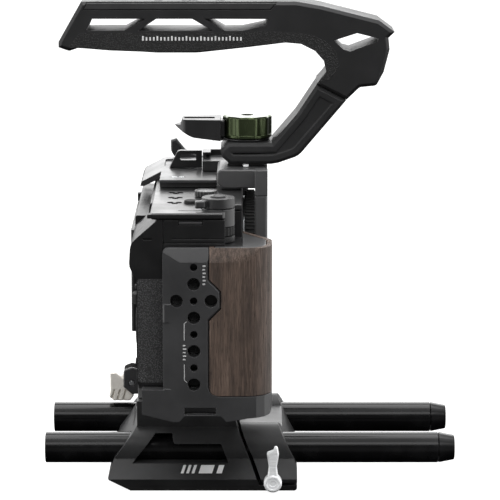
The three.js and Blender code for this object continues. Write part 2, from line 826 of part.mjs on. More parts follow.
// The screen turns about a pin at the camera's left edge.
function makeScreen(group) {
  const { near, far, low, high, thickness, knuckle, pin } = LCD;
  const back = CAMERA.rear - GAP;
  const hinge = far + 1.1;
  const axis = [screenAxis, hinge, 0];
  const plan = [
    [back - thickness, near, 1.5],
    [back, near, 0.5],
    [back, far - 2],
    [back - thickness / 2, hinge],
    [back - thickness, far - 2],
  ];
  const glassPocket = 1.2;
  const frame = cut(
    join(prism("z", plan, low, high), rod("z", knuckle, low, high, axis, 16)),
    rod("z", pin + 0.2, low - 1, high + 1, axis, 12),
    box([back - glassPocket, back + 1], [near + 6, far - 9], [low + 5, high - 5]),
  );
  piece(group, "screen_frame", frame, FINISH.cameraShell);
  piece(
    group,
    "screen_glass",
    box([back - glassPocket + GAP, back], [near + 6 + GAP, far - 9 - GAP], [low + 5 + GAP, high - 5 - GAP]),
    FINISH.glass,
  );
  piece(group, "screen_hinge_pin", rod("z", pin, low - 2.8, high + 2.8, axis, 12), FINISH.steel);
}

function makePortCover(group) {
  const { left } = CAMERA;
  const { rear, front, low, high, thickness } = PORT;
  const flap = [
    [rear, left + GAP],
    [front, left + GAP],
    [front, left + GAP + thickness, 0.8],
    [rear, left + GAP + thickness],
  ];
  piece(group, "port_cover", prism("z", flap, low, high), FINISH.rubber);
}

// ---------------------------------------------------------------- cage
// The side panel as (x, z): a straight rear edge and a chamfered lobe into the wood.
function panelSide(grow) {
  const lift = cageLift;
  const lobe = PANEL.front + PANEL.lobe + grow;
  return [
    [PANEL.rear - grow, WOOD.low - 2 + lift],
    [PANEL.front + grow, WOOD.low - 2 + lift],
    [PANEL.front + grow, PANEL.lobeLow + lift - grow],
    [lobe, PANEL.lobeLow + PANEL.lobe + lift - grow / 2],
    [lobe, PANEL.lobeHigh - PANEL.lobe + lift + grow / 2],
    [PANEL.front + grow, PANEL.lobeHigh + lift + grow],
    [PANEL.front + grow, PANEL.top + lift + grow],
    [PANEL.rear - grow, PANEL.top + lift + grow, PANEL.shoulder],
  ];
}

// The grip seen from above, anticlockwise: near face, round corner, front, slanted heel.
const gripPlan = () => [
  [PANEL.front, cageNear],
  [WOOD.front, cageNear, WOOD.corner],
  [WOOD.front, WOOD.knee, 9],
  [CAMERA.front + GAP, WOOD.heel],
  [PANEL.front, WOOD.heel],
];

// The camera and its clearance, as the space that the cage leaves free.
const cameraSpace = () =>
  box([-80, CAMERA.front + GAP], [CAMERA.right - GAP, 80], [cameraLow - 5, cameraHigh + 30]);

function gripWall(outer, inner, low, high) {
  const wall = cut(
    prism("z", inset(gripPlan(), outer), low, high),
    prism("z", inset(gripPlan(), inner), low - 1, high + 1),
  );
  return cut(wall, cameraSpace());
}

// The bevel across the top of the panel and the wood, as the wedge that it takes off.
function crownWedge() {
  const top = WOOD.high + cageLift;
  const slope = CROWN.depth / CROWN.height;
  return prism(
    "x",
    [
      [cageNear - 1, top - CROWN.height - 1 / slope],
      [cageNear + CROWN.depth + 1, top + 1 / slope],
      [cageNear - 1, top + 1 / slope],
    ],
    PANEL.rear - 2,
    WOOD.front + 2,
  );
}

// The sloped margin along the panel's rear edge, as the wedges that it takes off.
function panelMargin() {
  const { rear, margin } = PANEL;
  const lift = cageLift;
  const wedge = (reach, depth) =>
    prism(
      "z",
      [
        [rear - 2, cageNear - 1],
        [rear + reach + 1, cageNear - 1],
        [rear + reach, cageNear],
        [rear, cageNear + depth],
        [rear - 2, cageNear + depth],
      ],
      0,
      200,
    );
  const upper = prism(
    "y",
    [
      [rear - 2, 101.5 + lift],
      [rear + 5, 101.5 + lift],
      [rear + 9, 106.5 + lift],
      [rear + 9, 140 + lift],
      [rear - 2, 140 + lift],
    ],
    cageNear - 2,
    CAMERA.right,
  );
  const lower = prism(
    "y",
    [
      [rear - 2, SKIRT.high + lift],
      [rear + 9, SKIRT.high + lift],
      [rear + 9, 88 + lift],
      [rear + 5, 93 + lift],
      [rear - 2, 93 + lift],
    ],
    cageNear - 2,
    CAMERA.right,
  );
  return join(wedge(8, margin).intersect(upper), wedge(4, margin * 0.6).intersect(lower));
}

// The rounded foot of the wood, as the corner of metal that fills it.
function woodFoot(grow) {
  const x = PANEL.front;
  const z = WOOD.low + cageLift;
  const { foot } = WOOD;
  const block = box([x - 1, x + foot], [cageNear, CAMERA.right - 2 * GAP], [z - 1, z + foot]);
  const round = rod("y", foot - grow, cageNear - 1, CAMERA.right, [x + foot, 0, z + foot], 24);
  return cut(block, round);
}

function makeCage() {
  const group = assembly(0, 0, 0);
  const lift = cageLift;
  const cameraScrew = (radius) =>
    rod("z", radius, 0, cameraLow + 20, [(PLATE.rear + PLATE.front) / 2, 0, 0], 16);

  const floor = cut(
    join(
      box([CAMERA.rear + 2.6, CAGE.floorFront], [CAMERA.right - GAP, cageFar], [cageFloorLow, cageFloorHigh]),
      box([CAGE.floorFront - 1, COLUMN.front], [COLUMN.near, COLUMN.far + 4], [cageFloorLow, cageFloorHigh]),
    ),
    cameraScrew(CAMERA_SCREW.thread + RUN),
  );
  piece(group, "cage_floor", floor, FINISH.greyAnodised);

  const skirtSide = [
    [SKIRT.rear, SKIRT.low + 3.2 + lift],
    [-36, SKIRT.low - 0.4 + lift],
    [-33, SKIRT.low - 0.4 + lift, 1],
    [-30.5, SKIRT.low + 2.4 + lift, 1],
    [-13.5, SKIRT.low + 2.4 + lift, 1],
    [-11, SKIRT.low - 0.4 + lift, 1],
    [-1, SKIRT.toe + lift, 4],
    [9.2, SKIRT.toe + 0.4 + lift, 1.5],
    [SKIRT.front, SKIRT.toe + 4 + lift],
    [SKIRT.front, WOOD.low + lift - GAP],
    [PANEL.front, WOOD.low + lift - GAP],
    [PANEL.front, SKIRT.high + lift - GAP],
    [SKIRT.rear, SKIRT.high + lift - GAP],
  ];
  const skirtPlan = [
    [SKIRT.rear, cageNear],
    [WOOD.front, cageNear, WOOD.corner],
    [WOOD.front, WOOD.knee, 9],
    [CAGE.floorFront + GAP, WOOD.heel - 0.6],
    [CAGE.floorFront + GAP, CAMERA.right - 2 * GAP],
    [SKIRT.rear, CAMERA.right - 2 * GAP],
  ];
  const skirt = prism("z", skirtPlan, SKIRT.low - 5, SKIRT.high + lift).intersect(
    prism("y", skirtSide, cageNear - 1, WOOD.heel + 1),
  );
  const plate = prism("y", panelSide(0), cageNear, CAMERA.right - 2 * GAP, 0.8);
  const holes = [];
  for (let i = 0; i < PANEL_HOLES.count; i++) {
    const z = PANEL_HOLES.first + i * PANEL_HOLES.pitch + lift;
    const at = (x, height) => [x, 0, height];
    const { large, small, x, pitch, side } = PANEL_HOLES;
    holes.push(rod("y", large / 2, cageNear - 1, CAMERA.right, at(x, z), 16));
    holes.push(rod("y", small / 2, cageNear - 1, CAMERA.right, at(x, z + pitch / 2), 12));
    if (i === 2) {
      for (const shift of [-side, side]) {
        holes.push(rod("y", large / 2, cageNear - 1, CAMERA.right, at(x + shift, z + pitch / 2), 16));
      }
    }
  }
  const strap = prism(
    "y",
    [
      [STRAP_SLOT.rear, STRAP_SLOT.high + lift],
      [STRAP_SLOT.rear + 2, STRAP_SLOT.low + lift],
      [STRAP_SLOT.front - 2, STRAP_SLOT.low + lift],
      [STRAP_SLOT.front, STRAP_SLOT.high + lift],
    ],
    cageNear - 1,
    cageNear + STRAP_SLOT.depth,
  );
  const relief = box([-30, 3], [CAMERA.right + 4, -58], [SKIRT.low - 6, SKIRT.high - SKIRT.sill + lift]);
  const panel = cut(
    join(skirt, plate, woodFoot(0)),
    ...holes,
    strap,
    relief,
    crownWedge(),
    panelMargin(),
  );
  piece(group, "cage_side_panel", panel, FINISH.greyAnodised);

  const woodLow = WOOD.low + lift;
  const woodHigh = WOOD.high + lift;
  const panelCut = prism("y", panelSide(GAP), cageNear - 1, CAMERA.right + 1);
  const wood = cut(gripWall(0, WOOD.skin, woodLow, woodHigh), panelCut, woodFoot(GAP), crownWedge());
  piece(group, "grip_wood", wood, FINISH.walnut);

  const rim = WOOD.skin + GAP;
  const backing = gripWall(rim, rim + WOOD.backing, woodLow, woodHigh);
  const lid = cut(
    prism("z", inset(gripPlan(), rim), woodHigh - LID, woodHigh),
    cameraSpace(),
    rod("z", STACK.radius + 2 * GAP, 0, woodHigh + 9, [STACK.x, STACK.y, 0], 24),
  );
  const backingShape = cut(join(backing, lid), panelCut, woodFoot(GAP));
  piece(group, "grip_backing", backingShape, FINISH.greyAnodised);

  const column = prism(
    "z",
    [
      [COLUMN.rear, COLUMN.near],
      [COLUMN.front, COLUMN.near, 1.5],
      [COLUMN.front, COLUMN.far],
      [COLUMN.rear, COLUMN.far],
    ],
    cageFloorHigh + GAP,
    blockLow - GAP,
  );
  piece(group, "cage_front_column", column, FINISH.greyAnodised);

  makeCageTop(group);
  makeCageFarPlate(group);
}

function makeCageTop(group) {
  const { rear, front, near, far } = MOUNT_BLOCK;
  const flange = [
    [-44, cageTopHigh],
    [CAGE.topFront, cageTopHigh],
    [CAGE.topFront, cageTopLow],
    [-45.5, cageTopLow],
    [-52.6, cageTopLow - 3.4],
    [-54.6, cageTopLow - 3.4],
    [-53.6, cageTopHigh - 5],
  ];
  const top = join(
    prism("y", flange, 12, cageFar - GAP),
    box([-44, CAGE.topFront], [CAGE.topNear, 13], [cageTopLow, cageTopHigh]),
  );
  const undercut = box(
    [-45, CAGE.topFront + 1],
    [CAGE.topNear - 1, CAGE.topNear + 3],
    [0, cageTopHigh - 1.3],
  );
  piece(group, "cage_top_plate", cut(top, undercut, deckClearance()), FINISH.greyAnodised);

  const loopOuter = [
    [-40.3, cageTopHigh + GAP],
    [-24, cageTopHigh + GAP],
    [-24, cageTopHigh + 9],
    [-36, cageTopHigh + 9, 2],
  ];
  const loopInner = [
    [-35.5, cageTopHigh + 4.2, 1],
    [-27, cageTopHigh + 4.2],
    [-27, cageTopHigh + 7.3],
    [-34.2, cageTopHigh + 7.3, 1],
  ];
  const loop = cut(prism("y", loopOuter, 21, 25), prism("y", loopInner, 20, 26));
  piece(group, "strap_loop", loop, FINISH.blackAnodised);

  const shoe = SHOE;
  const shoeFront = shoe.rear + shoe.width;
  const shoeFloor = cageTopHigh + shoe.floor;
  const shoeTop = shoeFloor + shoe.slot + shoe.lip;
  const openSide = [shoe.near - 1, shoe.far - shoe.wall];
  const shoeShape = cut(
    box([shoe.rear, shoeFront], [shoe.near, shoe.far], [cageTopHigh + GAP, shoeTop]),
    box([shoe.rear - 1, shoeFront + 1], [shoe.near - 1, shoe.hood], [shoeFloor, shoeTop + 1]),
    box([shoe.rear + shoe.wall, shoeFront - shoe.wall], openSide, [shoeFloor, shoeFloor + shoe.slot]),
    box([shoe.rear + shoe.rail, shoeFront - shoe.rail], openSide, [shoeFloor, shoeTop + 1]),
  );
  piece(group, "cold_shoe", shoeShape, FINISH.greyAnodised);
  const shoeSpace = box([-99, shoeFront + GAP], [shoe.near - GAP, 99], [0, 300]);

  const block = cut(
    prism(
      "y",
      [
        [rear, blockLow + 2.5],
        [rear + 3, blockLow],
        [front, blockLow],
        [front, blockHigh],
        [rear + 1.5, blockHigh],
        [rear, blockHigh - 1.5],
      ],
      near,
      far,
      0.6,
    ),
    rod("z", STUD + RUN, 0, 300, [HANDLE.axis, 0, 0], 16),
  );
  const hanger = box([rear + 2, CAMERA.front - 2], [near + 2, far - 2], [cageTopLow, blockLow + 1]);
  const nearToe = join(
    box([COLUMN.rear, COLUMN.front], [COLUMN.near, near + 1], [blockLow, blockHigh - 1]),
    box([COLUMN.rear, COLUMN.front], [COLUMN.near, COLUMN.far], [blockLow, blockLow + COLUMN.toe]),
  );
  piece(
    group,
    "handle_mount_block",
    cut(join(block, hanger, nearToe), shoeSpace, rod("z", STUD + RUN, 0, 300, [HANDLE.axis, 0, 0], 16)),
    FINISH.greyAnodised,
  );
  const adapter = cut(
    box([-11, 7], [-10, shoe.near - 2], [blockHigh + GAP / 2, footLow - GAP / 2]),
    rod("z", STUD + RUN, 0, 300, [HANDLE.axis, 0, 0], 16),
  );
  piece(group, "handle_shim", adapter, FINISH.blackAnodised);
  piece(
    group,
    "handle_locating_pin",
    rod("z", 1.4, blockHigh + GAP / 2, footLow - GAP / 2, [-2, -12, 0], 12),
    FINISH.silver,
  );
}

// The room that the top plate leaves over the deck's dial and button.
const deckClearance = () =>
  rod(
    "z",
    MODE_DIAL.radius + 1,
    cameraHigh - 1,
    cameraHigh + MODE_DIAL.height + 1,
    [MODE_DIAL.x, MODE_DIAL.y, 0],
    24,
  );

function makeCageFarPlate(group) {
  const side = [
    [-45, cageFloorLow],
    [-1, cageFloorLow, 3],
    [-1, cageTopHigh, 4],
    [-24, cageTopHigh],
    [-33, cageTopHigh + 3.4, 6],
    [-37.8, cageTopHigh + 9.4],
    [-40.6, cageTopHigh + 8.6],
    [-40.6, cageTopHigh + 3, 4],
    [-36, cageTopHigh - 4, 5],
    [-45, cageTopHigh - 14],
  ];
  const windowLow = cameraLow + PORT.low - 4;
  const windowHigh = cameraLow + PORT.high + 4;
  const opening = [
    [PORT.rear - 4, windowLow, 2],
    [PORT.front + 4, windowLow, 2],
    [PORT.front + 4, windowHigh, 2],
    [PORT.rear - 4, windowHigh, 2],
  ];
  const plate = cut(
    prism("y", side, cageFar, cageFar + CAGE.far, 0.8),
    prism("y", opening, cageFar - 1, cageFar + CAGE.far + 1),
  );
  piece(group, "cage_far_plate", plate, FINISH.greyAnodised);
}

// ---------------------------------------------------------------- top handle
// The handle's own frame: its clamping axis is x = 0 and the underside of its foot z = 0.
function makeHandle() {
  const group = assembly(HANDLE.axis, 0, footLow);
  const { half, foot, bevel } = HANDLE;
  const stud = rod("z", STUD + RUN, -5, 60, [0, 0, 0], 16);

  const strutSide = [
    SEAM.outer,
    SEAM.inner,
    [24, 24.5, 12],
    [12, foot],
    [-9.3, foot],
    [-13, foot - 3.4],
    [-12.4, 3.6],
    [-8.5, 0],
    [13.5, 0, 10],
    [25, 4, 8],
  ];
  const boltAt = new THREE.Vector3(
    (SEAM.inner[0] + SEAM.outer[0]) / 2,
    0,
    (SEAM.inner[1] + SEAM.outer[1]) / 2,
  );
  const seamAngle = Math.atan2(SEAM.inner[1] - SEAM.outer[1], SEAM.outer[0] - SEAM.inner[0]);
  const acrossSeam = new THREE.Matrix4().makeRotationY(seamAngle).setPosition(boltAt);
  const across = (radius, low, high) => moved(rod("z", radius, low, high, [0, 0, 0], 16), acrossSeam);
  const boltHole = SEAM.bolt + RUN;
  const strut = cut(
    prism("y", strutSide, -half, half, bevel),
    stud,
    across(boltHole, -SEAM.grip - 0.5, 5),
  );
  piece(group, "handle_strut", strut, FINISH.blackAnodised);

  const headSide = [
    [SEAM.inner[0] + 0.12, SEAM.inner[1] + GAP],
    [SEAM.outer[0] + 0.12, SEAM.outer[1] + GAP],
    [54.5, 37.6, 2],
    [62.5, 38.4, 2],
    [66, 45],
    [68.8, 56, 2],
    [68.2, 61.6],
    [71.2, 64.4],
    [63.6, 70],
    [35.8, 77, 8],
    [23.8, 79.1],
    [-80, 79.1],
    [-91.1, 59.7],
    [-91.1, 57],
    [-86, 55.2, 2],
    [-79.5, 57.4, 6],
    [-66.2, 55.9, 10],
    [-44, 54.4, 20],
    [-24, 54.4, 20],
    [0, 57, 20],
    [31, 60.8, 10],
    [41.5, 49.5, 6],
  ];
  const windows = [
    [[-75.1, 70.9], [-77.6, 65.1], [-59.5, 65.2], [-48.9, 70.9]],
    [[-43.8, 70.9], [-52.5, 65.1], [-16.6, 65.1], [-26.5, 70.9]],
    [[-20.7, 70.9], [-10.7, 65.1], [-2.4, 65.1], [8.8, 67.5], [10.7, 70.8]],
    [[41.8, 60.4], [46.5, 56], [49.9, 55.2], [63, 60], [63.4, 61.4], [53, 64]],
  ];
  const padSide = [
    [-2, 56.9],
    [24, 59.7],
    [23, 62.4],
    [-2, 59.6],
  ];
  const strip = STRIP;
  const stripSide = (grow) => [
    [strip.rear - grow, strip.low - grow],
    [strip.front + grow - 3, strip.low - grow],
    [strip.front + grow, strip.high + grow],
    [strip.rear + 1.5 - grow, strip.high + grow],
  ];
  const stripCut = prism("y", stripSide(GAP), -half - 1, -half + strip.depth + GAP);
  const frame = cut(
    prism("y", headSide, -half, half, bevel),
    ...windows.map((corners) => prism("y", corners, -half - 1, half + 1)),
    prism("y", inset(padSide, -GAP), -half + 3 - GAP, half - 3 + GAP),
    stripCut,
    mirrorY(stripCut),
    across(boltHole, -2, SEAM.reach + 0.5),
  );
  piece(group, "handle_frame", frame, FINISH.blackAnodised);
  piece(group, "handle_palm_pad", prism("y", padSide, -half + 3, half - 3), FINISH.rubber);
  const stripShape = prism("y", stripSide(0), -half + 0.1, -half + strip.depth);
  piece(group, "handle_strip_near", stripShape, FINISH.rubber);
  piece(group, "handle_strip_far", mirrorY(stripShape), FINISH.rubber);
  piece(group, "handle_bolt", across(SEAM.bolt, -SEAM.grip, SEAM.reach), FINISH.steel);

  makeKnob(group);
}

// The clamp knob and its lever turn together on the stud that runs down into the mount block.
function makeKnob(group) {
  const { radius, lobes, scallop, flange, height, recess } = KNOB;
  const { foot } = HANDLE;
  const hubLow = foot + GAP;
  const hubHigh = hubLow + BLADE.hub;
  const knobLow = hubHigh + GAP;
  const knobHigh = knobLow + height;
  const steps = lobes * 6;
  const lobed = Array.from({ length: steps }, (_, i) => {
    const angle = (i / steps) * 2 * Math.PI;
    const reach = radius - scallop * (1 - Math.cos(lobes * angle)) * 0.5;
    return [reach * Math.cos(angle), reach * Math.sin(angle)];
  });
  const flangeProfile = [
    [0, knobLow],
    [radius - 0.5, knobLow],
    [radius, knobLow + 0.5],
    [radius, knobLow + flange],
    [0, knobLow + flange + 0.4],
  ];
  const knob = cut(
    join(
      prism("z", lobed, knobLow, knobHigh, 0.6),
      turned("z", flangeProfile, [0, 0, 0], 32),
    ),
    rod("z", STUD + RUN, knobLow - 1, knobHigh - 3, [0, 0, 0], 16),
    rod("z", recess, knobHigh - 1.6, knobHigh + 1, [0, 0, 0], 20),
  );
  piece(group, "handle_knob", knob, FINISH.green);

  const { tip, root, half, high } = BLADE;
  const plan = [
    [-root + 1, -half + 1],
    [-root + 1, half - 1],
    [-31, half - 2.5, 3],
    [-tip, 0, 1],
    [-31, -half + 2.5, 3],
  ];
  const hullSide = [
    [0, hubLow],
    [0, hubLow + high],
    [-31.6, hubLow + high],
    [-32.6, hubLow + 7.6],
    [-tip - 0.2, hubLow + 7.2],
    [-tip + 1.2, hubLow + 6],
    [-27, hubLow + 1.6, 8],
    [-13, hubLow],
  ];
  const blade = cut(
    prism("z", plan, hubLow, hubLow + high).intersect(prism("y", hullSide, -half - 1, half + 1)),
    rod("z", radius + 1.2, hubHigh, 60, [0, 0, 0], 32),
    box([-30.8, -root - 2], [-2.6, 2.6], [hubLow + high - 3, 60]),
  );
  const hub = tube("z", radius - 1, STUD + RUN, hubLow, hubHigh, [0, 0, 0], 32);
  const arm = cut(box([-root - 3, -8], [-7, 7], [hubLow, hubHigh]), rod("z", 8, 0, 60, [0, 0, 0], 16));
  piece(group, "handle_knob_lever", join(blade, arm, hub), FINISH.blackAnodised);

  const studLow = blockLow + 1 - footLow;
  piece(group, "handle_stud", rod("z", STUD, studLow, knobHigh - 3 - GAP, [0, 0, 0], 16), FINISH.steel);
}

// ---------------------------------------------------------------- the whole rig
makeRods();
makeBase();
const { group: plateGroup, screw: cameraScrewShape } = makePlate();
piece(plateGroup, "camera_screw", cameraScrewShape, FINISH.steel);
makeLock();
makeCamera();
makeCage();
makeHandle();

export default rig;
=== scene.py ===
"""The looks of a cinema camera rig, built round its fixed frame.

Each sub-assembly is a class that refines its own parts of the frame, adds the details that the
frame leaves out and dresses them in its finishes. Everything is in metres, with +X the way the
lens looks, +Y to the camera's left and +Z up.
"""

import logging
import math
from dataclasses import dataclass
from enum import Enum
from typing import Any, Callable, Iterable, Sequence

import bmesh
import bpy
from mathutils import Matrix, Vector

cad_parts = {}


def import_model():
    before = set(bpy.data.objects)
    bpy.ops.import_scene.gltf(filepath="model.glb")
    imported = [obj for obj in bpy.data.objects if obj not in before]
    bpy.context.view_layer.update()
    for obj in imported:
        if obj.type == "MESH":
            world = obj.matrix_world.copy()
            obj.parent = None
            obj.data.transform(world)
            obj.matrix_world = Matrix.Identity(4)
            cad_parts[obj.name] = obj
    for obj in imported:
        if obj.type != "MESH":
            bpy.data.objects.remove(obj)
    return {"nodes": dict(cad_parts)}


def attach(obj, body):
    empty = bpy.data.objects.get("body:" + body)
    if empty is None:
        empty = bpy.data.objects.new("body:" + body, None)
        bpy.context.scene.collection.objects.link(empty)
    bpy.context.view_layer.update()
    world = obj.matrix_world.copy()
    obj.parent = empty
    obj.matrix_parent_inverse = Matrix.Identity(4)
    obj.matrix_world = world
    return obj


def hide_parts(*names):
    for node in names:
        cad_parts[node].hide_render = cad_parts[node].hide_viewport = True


LOG = logging.getLogger("camera_rig")
MM = 0.001
Colour = tuple[float, float, float]
Flat = tuple[float, float]
Point = tuple[float, float, float]
Shape = bpy.types.Object
Material = bpy.types.Material
SIDES = (("near", -1), ("far", 1))
BACK = (-1.0, 0.0, 0.0)
FRONT = (1.0, 0.0, 0.0)
REACH = 1.0  # how far a cutting tool stands out of a face, in millimetres
SMOOTH_ANGLE = 32.0  # the smallest angle that counts as an edge, in degrees
LOOKS = 0.98  # the cosine over which a face counts as looking one way


class Axis(Enum):
    """The three directions of the rig, with the turn that lays a Z primitive along each."""

    X = (0.0, math.pi / 2, 0.0)
    Y = (math.pi / 2, 0.0, 0.0)
    Z = (0.0, 0.0, 0.0)


# ---------------------------------------------------------------- shader maths
class Signal:
    """A shader socket that takes Python's arithmetic, which adds Math nodes."""

    def __init__(self, recipe: "Recipe", socket: bpy.types.NodeSocket) -> None:
        """Wraps one output socket of a recipe's tree."""
        self.recipe = recipe
        self.socket = socket

    def _math(self, operation: str, first: Any, second: Any = 0.0) -> "Signal":
        """Adds one Math node on two values or signals."""
        return self.recipe.node("ShaderNodeMath", {"operation": operation}, {0: first, 1: second})

    def __add__(self, other: Any) -> "Signal":
        """Sum."""
        return self._math("ADD", self, other)

    def __radd__(self, other: Any) -> "Signal":
        """Sum with the signal on the right."""
        return self._math("ADD", other, self)

    def __sub__(self, other: Any) -> "Signal":
        """Difference."""
        return self._math("SUBTRACT", self, other)

    def __rsub__(self, other: Any) -> "Signal":
        """Difference with the signal on the right."""
        return self._math("SUBTRACT", other, self)

    def __mul__(self, other: Any) -> "Signal":
        """Product."""
        return self._math("MULTIPLY", self, other)

    def __rmul__(self, other: Any) -> "Signal":
        """Product with the signal on the right."""
        return self._math("MULTIPLY", other, self)

    def __abs__(self) -> "Signal":
        """Size without sign."""
        return self._math("ABSOLUTE", self)

    def between(self, low: float, high: float, start: float = 0.0, end: float = 1.0) -> "Signal":
        """Carries low to high over onto start to end, smoothly and clamped.

        Args:
            low: The signal that gives start.
            high: The signal that gives end.
            start: The value at and under low.
            end: The value at and over high.

        Returns:
            The carried signal.
        """
        settings = {"interpolation_type": "SMOOTHSTEP", "clamp": True}
        values = {0: self, 1: low, 2: high, 3: start, 4: end}
        return self.recipe.node("ShaderNodeMapRange", settings, values)


class Recipe:
    """One material while its nodes are being laid."""

    def __init__(self, owner: Material | bpy.types.World) -> None:
        """Empties the node tree of a material or a world.

        Args:
            owner: The material or world.
        """
        owner.use_nodes = True
        self.material = owner
        self.tree = owner.node_tree
        self.tree.nodes.clear()

    def node(
        self,
        kind: str,
        settings: dict[str, Any] | None = None,
        inputs: dict[Any, Any] | None = None,
        output: Any = 0,
    ) -> Signal:
        """Adds any node: its settings first, then its sockets.

        Args:
            kind: The node's Blender type.
            settings: Properties of the node; "stops" are a ramp's (place, colour) pairs.
            inputs: Sockets by name or number, each a value or a signal.
            output: The output that the signal carries.

        Returns:
            The chosen output.
        """
        made = self.tree.nodes.new(kind)
        for key, value in (settings or {}).items():
            if key == "stops":
                self._lay_stops(made, value)
            else:
                setattr(made, key, value)
        for key, value in (inputs or {}).items():
            if isinstance(value, Signal):
                self.tree.links.new(value.socket, made.inputs[key])
            else:
                made.inputs[key].default_value = value
        return Signal(self, made.outputs[output] if len(made.outputs) else None)

    @staticmethod
    def _lay_stops(ramp: bpy.types.Node, stops: Sequence[tuple[float, Colour]]) -> None:
        """Puts a ramp's stops in place of its own two."""
        elements = ramp.color_ramp.elements
        while len(elements) > 1:
            elements.remove(elements[-1])
        elements[0].position = stops[0][0]
        elements[0].color = (*stops[0][1], 1.0)
        for place, colour in stops[1:]:
            elements.new(place).color = (*colour, 1.0)

    def place(self, scale: Point = (1.0, 1.0, 1.0)) -> Signal:
        """Object coordinates, stretched."""
        where = self.node("ShaderNodeTexCoord", output="Object")
        return self.node("ShaderNodeMapping", None, {"Vector": where, "Scale": scale})

    def noise(self, where: Signal, scale: float, detail: float = 2.0, rough: float = 0.5) -> Signal:
        """Cloudy noise of a given scale."""
        values = {"Vector": where, "Scale": scale, "Detail": detail, "Roughness": rough}
        return self.node("ShaderNodeTexNoise", None, values)

    def cells(self, where: Signal, scale: float) -> Signal:
        """Distance to the nearest of scattered points."""
        return self.node("ShaderNodeTexVoronoi", None, {"Vector": where, "Scale": scale})

    def blend(self, factor: Any, first: Any, second: Any) -> Signal:
        """Mixes two colours."""
        as_colour = lambda c: c if isinstance(c, Signal) else (*c, 1.0)
        values = {0: factor, 6: as_colour(first), 7: as_colour(second)}
        return self.node("ShaderNodeMix", {"data_type": "RGBA"}, values, 2)

    def edges(self, radius: float) -> tuple[Signal, Signal]:
        """Softened normals and a mask of the outer edges.

        Args:
            radius: How far from an edge the softening reaches.

        Returns:
            The softened normal and a mask that is 1 on edges.
        """
        soft = self.node("ShaderNodeBevel", {"samples": 4}, {"Radius": radius})
        true = self.node("ShaderNodeNewGeometry", output="Normal")
        same = self.node("ShaderNodeVectorMath", {"operation": "DOT_PRODUCT"}, {0: soft, 1: true}, 1)
        return soft, (1.0 - same).between(0.03, 0.25)

    def bump(self, height: Signal, strength: float, depth: float, normal: Signal | None = None) -> Signal:
        """A bump of a given depth in metres."""
        values = {"Height": height, "Strength": strength, "Distance": depth}
        if normal is not None:
            values["Normal"] = normal
        return self.node("ShaderNodeBump", None, values)

    def surface(self, **sockets: Any) -> Material:
        """Ends the tree in a Principled surface.

        Args:
            **sockets: Its sockets, with underscores for spaces.

        Returns:
            The finished material.
        """
        values = {key.replace("_", " "): value for key, value in sockets.items()}
        if isinstance(values.get("Base Color"), tuple):
            values["Base Color"] = (*values["Base Color"], 1.0)
        shader = self.node("ShaderNodeBsdfPrincipled", None, values)
        self.node("ShaderNodeOutputMaterial", None, {"Surface": shader})
        return self.material


# ---------------------------------------------------------------- finishes
@dataclass(frozen=True)
class Finish:
    """A finish that pieces wear, with the record's slot that it stands for."""

    name: str
    slot: str

    def lay(self, recipe: Recipe) -> Material:
        """Lays the finish's nodes."""
        raise NotImplementedError

    def material(self) -> Material:
        """The finish's material, made once."""
        name = f"look_{self.name}"
        return bpy.data.materials.get(name) or self.lay(Recipe(bpy.data.materials.new(name)))


@dataclass(frozen=True)
class Anodised(Finish):
    """Bead-blasted and anodised aluminium, its edges painted lighter and smoother in patches: partly wear,
    partly a painted highlight.
    """

    colour: Colour = (0.02, 0.02, 0.021)
    light_tone_and_highlight: Colour = (0.10, 0.10, 0.105)
    rough: float = 0.42
    grain: float = 0.000012
    edge: float = 0.0004
    shine: float = 0.5
    blast_scale: float = 5200.0
    cloud_scale: float = 38.0
    edge_patch_scale: float = 900.0

    def lay(self, recipe: Recipe) -> Material:
        """Lays blasted grain, cloudy patches and edges painted lighter in patches, partly wear and partly a
        painted highlight.
        """
        where = recipe.place()
        blast = recipe.noise(where, self.blast_scale, 3.0, 0.6)
        cloud = recipe.noise(where, self.cloud_scale, 4.0, 0.6)
        soft, edge = recipe.edges(self.edge)
        # Painted highlight mixed with wear: patches along the edges take the lighter colour, standing partly
        # for wear and partly for light catching the edges.
        scuff_and_highlight = edge * recipe.noise(where, self.edge_patch_scale, 3.0).between(0.35, 0.62)
        tint = recipe.blend(cloud.between(0.3, 0.75, 0.0, 0.14), self.colour, self.light_tone_and_highlight)
        colour = recipe.blend(scuff_and_highlight * 0.55, tint, self.light_tone_and_highlight)
        rough = cloud.between(0.3, 0.7, self.rough - 0.05, self.rough + 0.06) - scuff_and_highlight * 0.08
        normal = recipe.bump(blast, 0.6, self.grain, soft)
        return recipe.surface(
            Base_Color=colour, Roughness=rough, Specular_IOR_Level=self.shine, Normal=normal
        )


@dataclass(frozen=True)
class Polished(Finish):
    """Plated and polished metal with hairline marks along one direction."""

    colour: Colour = (0.80, 0.81, 0.82)
    rough: float = 0.14
    stretch: Point = (30.0, 900.0, 900.0)
    metal: float = 1.0
    edge: float = 0.0003
    hairline_scale: float = 6.0
    smear_scale: float = 160.0
    edge_highlight_colour: Colour = (0.95, 0.95, 0.95)

    def lay(self, recipe: Recipe) -> Material:
        """Lays hairlines and fingerprints, and paints a highlight along the edges."""
        line = recipe.noise(recipe.place(self.stretch), self.hairline_scale, 4.0, 0.65)
        smear = recipe.noise(recipe.place(), self.smear_scale, 3.0)
        soft, edge = recipe.edges(self.edge)
        dull = tuple(0.82 * c for c in self.colour)
        colour = recipe.blend(smear.between(0.45, 0.8, 0.0, 0.6), self.colour, dull)
        rough = line.between(0.3, 0.7, self.rough - 0.04, self.rough + 0.08) + smear * 0.05
        normal = recipe.bump(line, 0.25, 0.00002, soft)
        # Painted highlight: the edges are blended towards a near-white colour.
        bright = recipe.blend(edge * 0.3, colour, self.edge_highlight_colour)
        return recipe.surface(Base_Color=bright, Metallic=self.metal, Roughness=rough, Normal=normal)


